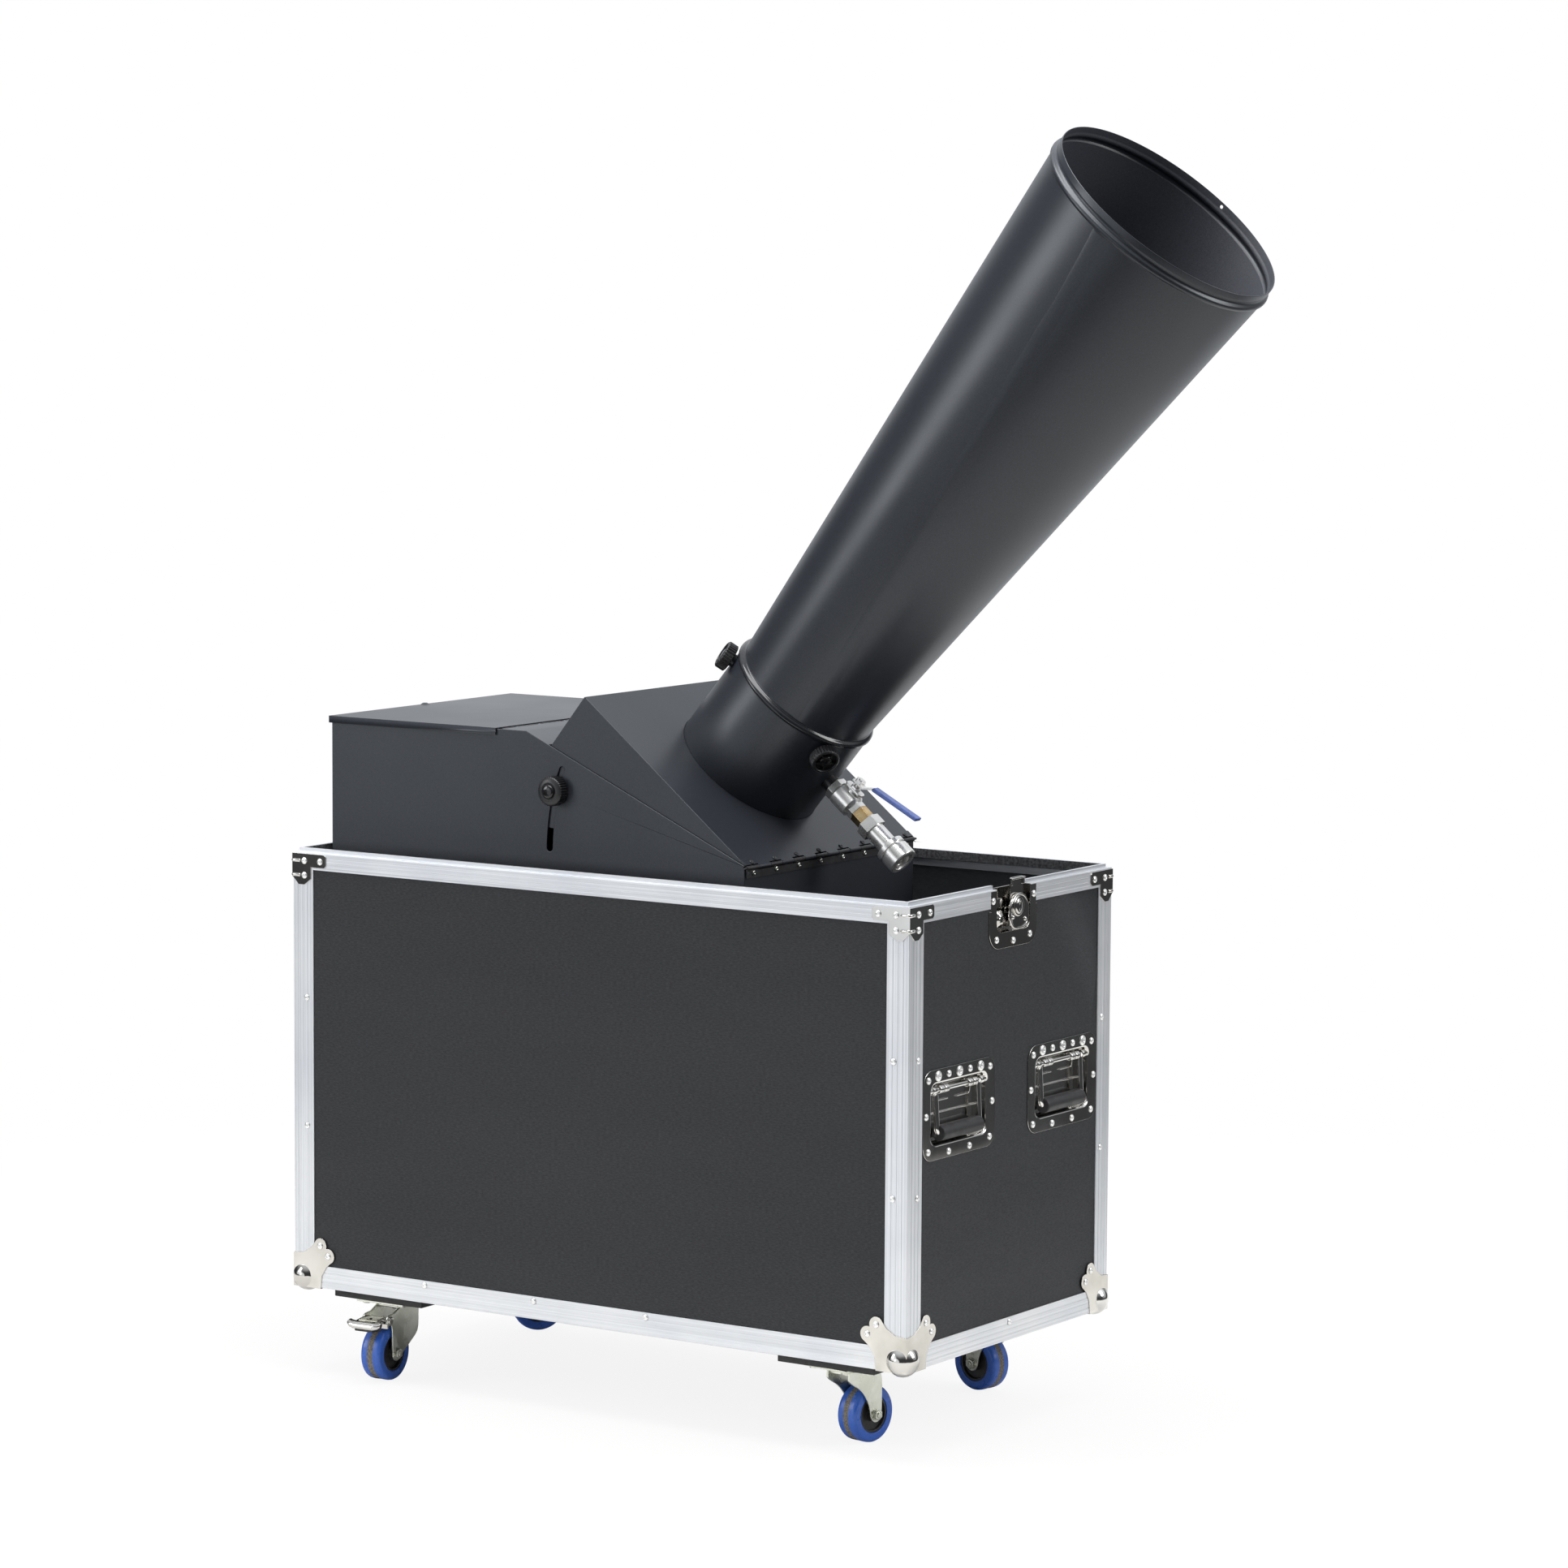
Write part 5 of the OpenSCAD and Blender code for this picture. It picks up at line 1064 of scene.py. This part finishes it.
blue_tread = grained_finish(
    "blue_polyurethane", (0.028, 0.105, 0.46), (0.040, 0.135, 0.56), (0.24, 0.34), (0.15, 0.15),
    300, 25)
core_black = grained_finish(
    "black_nylon", (0.012, 0.012, 0.013), (0.024, 0.024, 0.026), (0.4, 0.5), (0.2, 0.1), 300, 25)
FORK_IN, FORK_T, CROWN_Z, CASTER_TOP = 17.3, 3.0, -8.5, 110.0
TRAIL, AXLE_Z, PEDAL_AT = 33.0, -72.0, (50.0, -23.5)
CASTER_AT = (370.0, 190.0)


def fork(braked):
    """The caster's fork in its own frame: the kingpin's axis is Z, the wheel trails towards +X."""
    outline = [(-20, CROWN_Z), (24, CROWN_Z)]
    if braked:
        outline += [(40, -15.5)] + arc(50, -23.5, 7.4, 70, -90, 8) + [(46, -31.4)]
    else:
        outline += [(42, -20), (43.5, -26)]
    outline += [(44, -38), (43.6, -62)] + arc(TRAIL, AXLE_Z, 10.4, 15, -165, 12)
    if braked:
        outline += [(19, -74.5), (-12, -54), (-17, -49), (-19.4, -42), (-20, -34)]
    else:
        outline += arc(-34, -79, 56.5, 4, 62, 12) + [(-16, -24), (-20, -20)]
    cheeks = []
    for side in (-1, 1):
        cheek = slab("fork_cheek", outline, FORK_T)
        outer_face = side * (FORK_IN + FORK_T / 2) + FORK_T / 2
        cheeks.append(set_in_place(cheek, shift(0, outer_face, 0) @ turn_by(90, "X")))
    crown = slab("fork_crown", arc(0, 0, 26, 50, 310, 24) + [
        (24, -FORK_IN - FORK_T), (24, FORK_IN + FORK_T)], FORK_T)
    set_in_place(crown, shift(0, 0, CROWN_Z - FORK_T))
    race = turned("fork_race", [(0, 21), (0.9, 21), (1.9, 20), (2, 19.4)], 48)
    set_in_place(race, shift(0, 0, CROWN_Z))
    body = join_all(*cheeks, crown, race)
    soften(body, 0.7, 2, 40)
    reach = FORK_IN + FORK_T
    bolt = [turned("fork_axle", [(-reach - 1, 3.9), (reach + 1, 3.9)], 24)]
    for side in (-1, 1):
        washer = turned("fork_washer", [(0, 8.2), (0.8, 8.2), (1.0, 7.9)], 32)
        nut = turned("fork_nut", [(0.9, 7.2), (4.4, 7.2), (5.0, 6.2)], 6)
        end = turned("fork_bolt_end", [(5.0, 3.8), (6.0, 3.6), (6.4, 2.8)], 24)
        for piece in (washer, nut, end):
            bolt.append(set_in_place(piece, shift(0, 0, side * reach)
                                     @ turn_by(180 * (side < 0), "X")))
    bolt = join_all(*bolt)
    soften(bolt, 0)
    set_in_place(bolt, shift(TRAIL, 0, AXLE_Z) @ turn_by(90, "X"))
    body = join_all(body, bolt)
    set_in_place(body, shift(0, 0, CASTER_TOP))
    body.data.materials.clear()
    coat(body, zinc)
    return body


forks = {True: fork(True), False: fork(False)}
tread_seam = grained_finish(
    "ground_tread_seam", (0.045, 0.040, 0.038), (0.30, 0.27, 0.24), (0.55, 0.80), (0.9, 0.8), 520, 90)
tread = turned("tread", [
    (-15.6, 25.0), (-15.6, 26.2), (-16, 27), (-16, 33.6), (-15.6, 35.2), (-14.6, 36.6), (-12.8, 37.6),
    (-10, 38.0), (-4.4, 38.0), (-4.0, 37.8), (4.0, 37.8), (4.4, 38.0), (10, 38.0), (12.8, 37.6),
    (14.6, 36.6), (15.6, 35.2), (16, 33.6), (16, 27), (15.6, 26.2), (15.6, 25.0)], 96, ring=True)
soften(tread, 0)
coat(tread, blue_tread, tread_seam)
face_on(tread, lambda m: abs(m.z) < 4.3 * MM and m.xy.length > 0.030)
SWIVELS = {"front_left": (-1, -1, -86.5), "front_right": (1, -1, 80),
           "rear_right": (1, 1, 168), "rear_left": (-1, 1, 225)}


def swivel_of(place):
    sx, sy, heading = SWIVELS[place]
    return shift(sx * CASTER_AT[0], sy * CASTER_AT[1], 0) @ turn_by(heading, "Z")


for place in SWIVELS:
    hub = swivel_of(place) @ shift(TRAIL, 0, CASTER_TOP + AXLE_Z) @ turn_by(90, "X")
    band = copy_to(tread, f"tread_{place}_band", hub)
    hand_over(band, f"wheel_{place}", "blue_tread", f"tread_{place}")
    carry_coated(f"core_{place}_hub", f"wheel_{place}", "wheel_core", f"core_{place}", core_black, 0.4)
    braked = place in ("front_left", "rear_left")
    hand_over(copy_to(forks[braked], f"fork_{place}_pressing", swivel_of(place)), f"fork_{place}",
              "caster_zinc", f"fork_{place}")
scrap(tread, *forks.values())

# Brake pedals
# A bent steel plate on a pivot in the braked forks, with a wide turned-down lip for the
# foot and a black pad below that presses on the tread.

plate = slab("brake_pedal", [
    (-5.2, -3), (-4, 3), (2, 4.4), (7, 4.8), (20, 3.4), (32, 1.6), (36.4, 0.6), (38.8, -1.4),
    (39.8, -4), (39.4, -6.6), (37.8, -8), (36.4, -6.8), (36.2, -4.4), (35.5, -2.4), (31, -1.2),
    (20, 0.6), (7, 1.8), (1.6, 0), (1.4, -12.6), (-1.4, -12.6), (-1.6, -2)], 33)
set_in_place(plate, shift(0, 16.5, 0) @ turn_by(90, "X"))
soften(plate, 0.6, 2, 40)
wing = slab("pedal_wing", [
    (-6, 1.6), (-1, 1.4), (2.4, 0), (4.4, -2.6), (4.8, -5.6), (3.6, -8), (2, -8), (2.6, -5.4),
    (1.6, -3), (-0.6, -1.6), (-6, -1.2)], 54)
edit_all(wing)
for cut_at in (0.004, 0.011, 0.043, 0.050):
    bpy.ops.mesh.select_all(action="SELECT")
    bpy.ops.mesh.bisect(plane_co=(0, 0, cut_at), plane_no=(0, 0, 1))
end_edit()
for corner in wing.data.vertices:
    # the lip's ends are rounded off and swept up
    out_of_middle = max(0, abs(corner.co.z - 0.027) - 0.016) / 0.011
    corner.co.x -= 3.4 * MM * out_of_middle ** 2
    corner.co.y += (1.6 * MM - 0.35 * corner.co.y) * out_of_middle ** 2
set_in_place(wing, shift(34.6, 27, 0.2) @ turn_by(90, "X"))
soften(wing, 0.5, 2, 40)
pivot = turned("pedal_pivot", [(-22.6, 3), (-22, 5.4), (-19.8, 5.4), (-19.6, 2.95), (19.6, 2.95),
                               (19.8, 5.4), (22, 5.4), (22.6, 3)], 32)
set_in_place(pivot, turn_by(90, "X"))
soften(pivot, 0)
pad = slab("pedal_pad", [
    (10, -0.8), (31, -2.4), (36, -5.4), (35, -11.6), (22, -12.4), (12, -8.6)], 30)
set_in_place(pad, shift(0, 15, 0) @ turn_by(90, "X"))
soften(pad, 1.2, 3, 40)
pedal = join_all(plate, wing, pivot)
coat(pedal, chrome)
coat(pad, core_black)
for place in ("front_left", "rear_left"):
    spot = swivel_of(place) @ shift(PEDAL_AT[0], 0, CASTER_TOP + PEDAL_AT[1])
    body = f"brake_pedal_{place}"
    hand_over(copy_to(pedal, f"brake_pedal_{place}_plate", spot), body, "caster_zinc", body)
    hand_over(copy_to(pad, f"brake_pedal_{place}_pad", spot), body, "wheel_core")
scrap(pedal, pad)
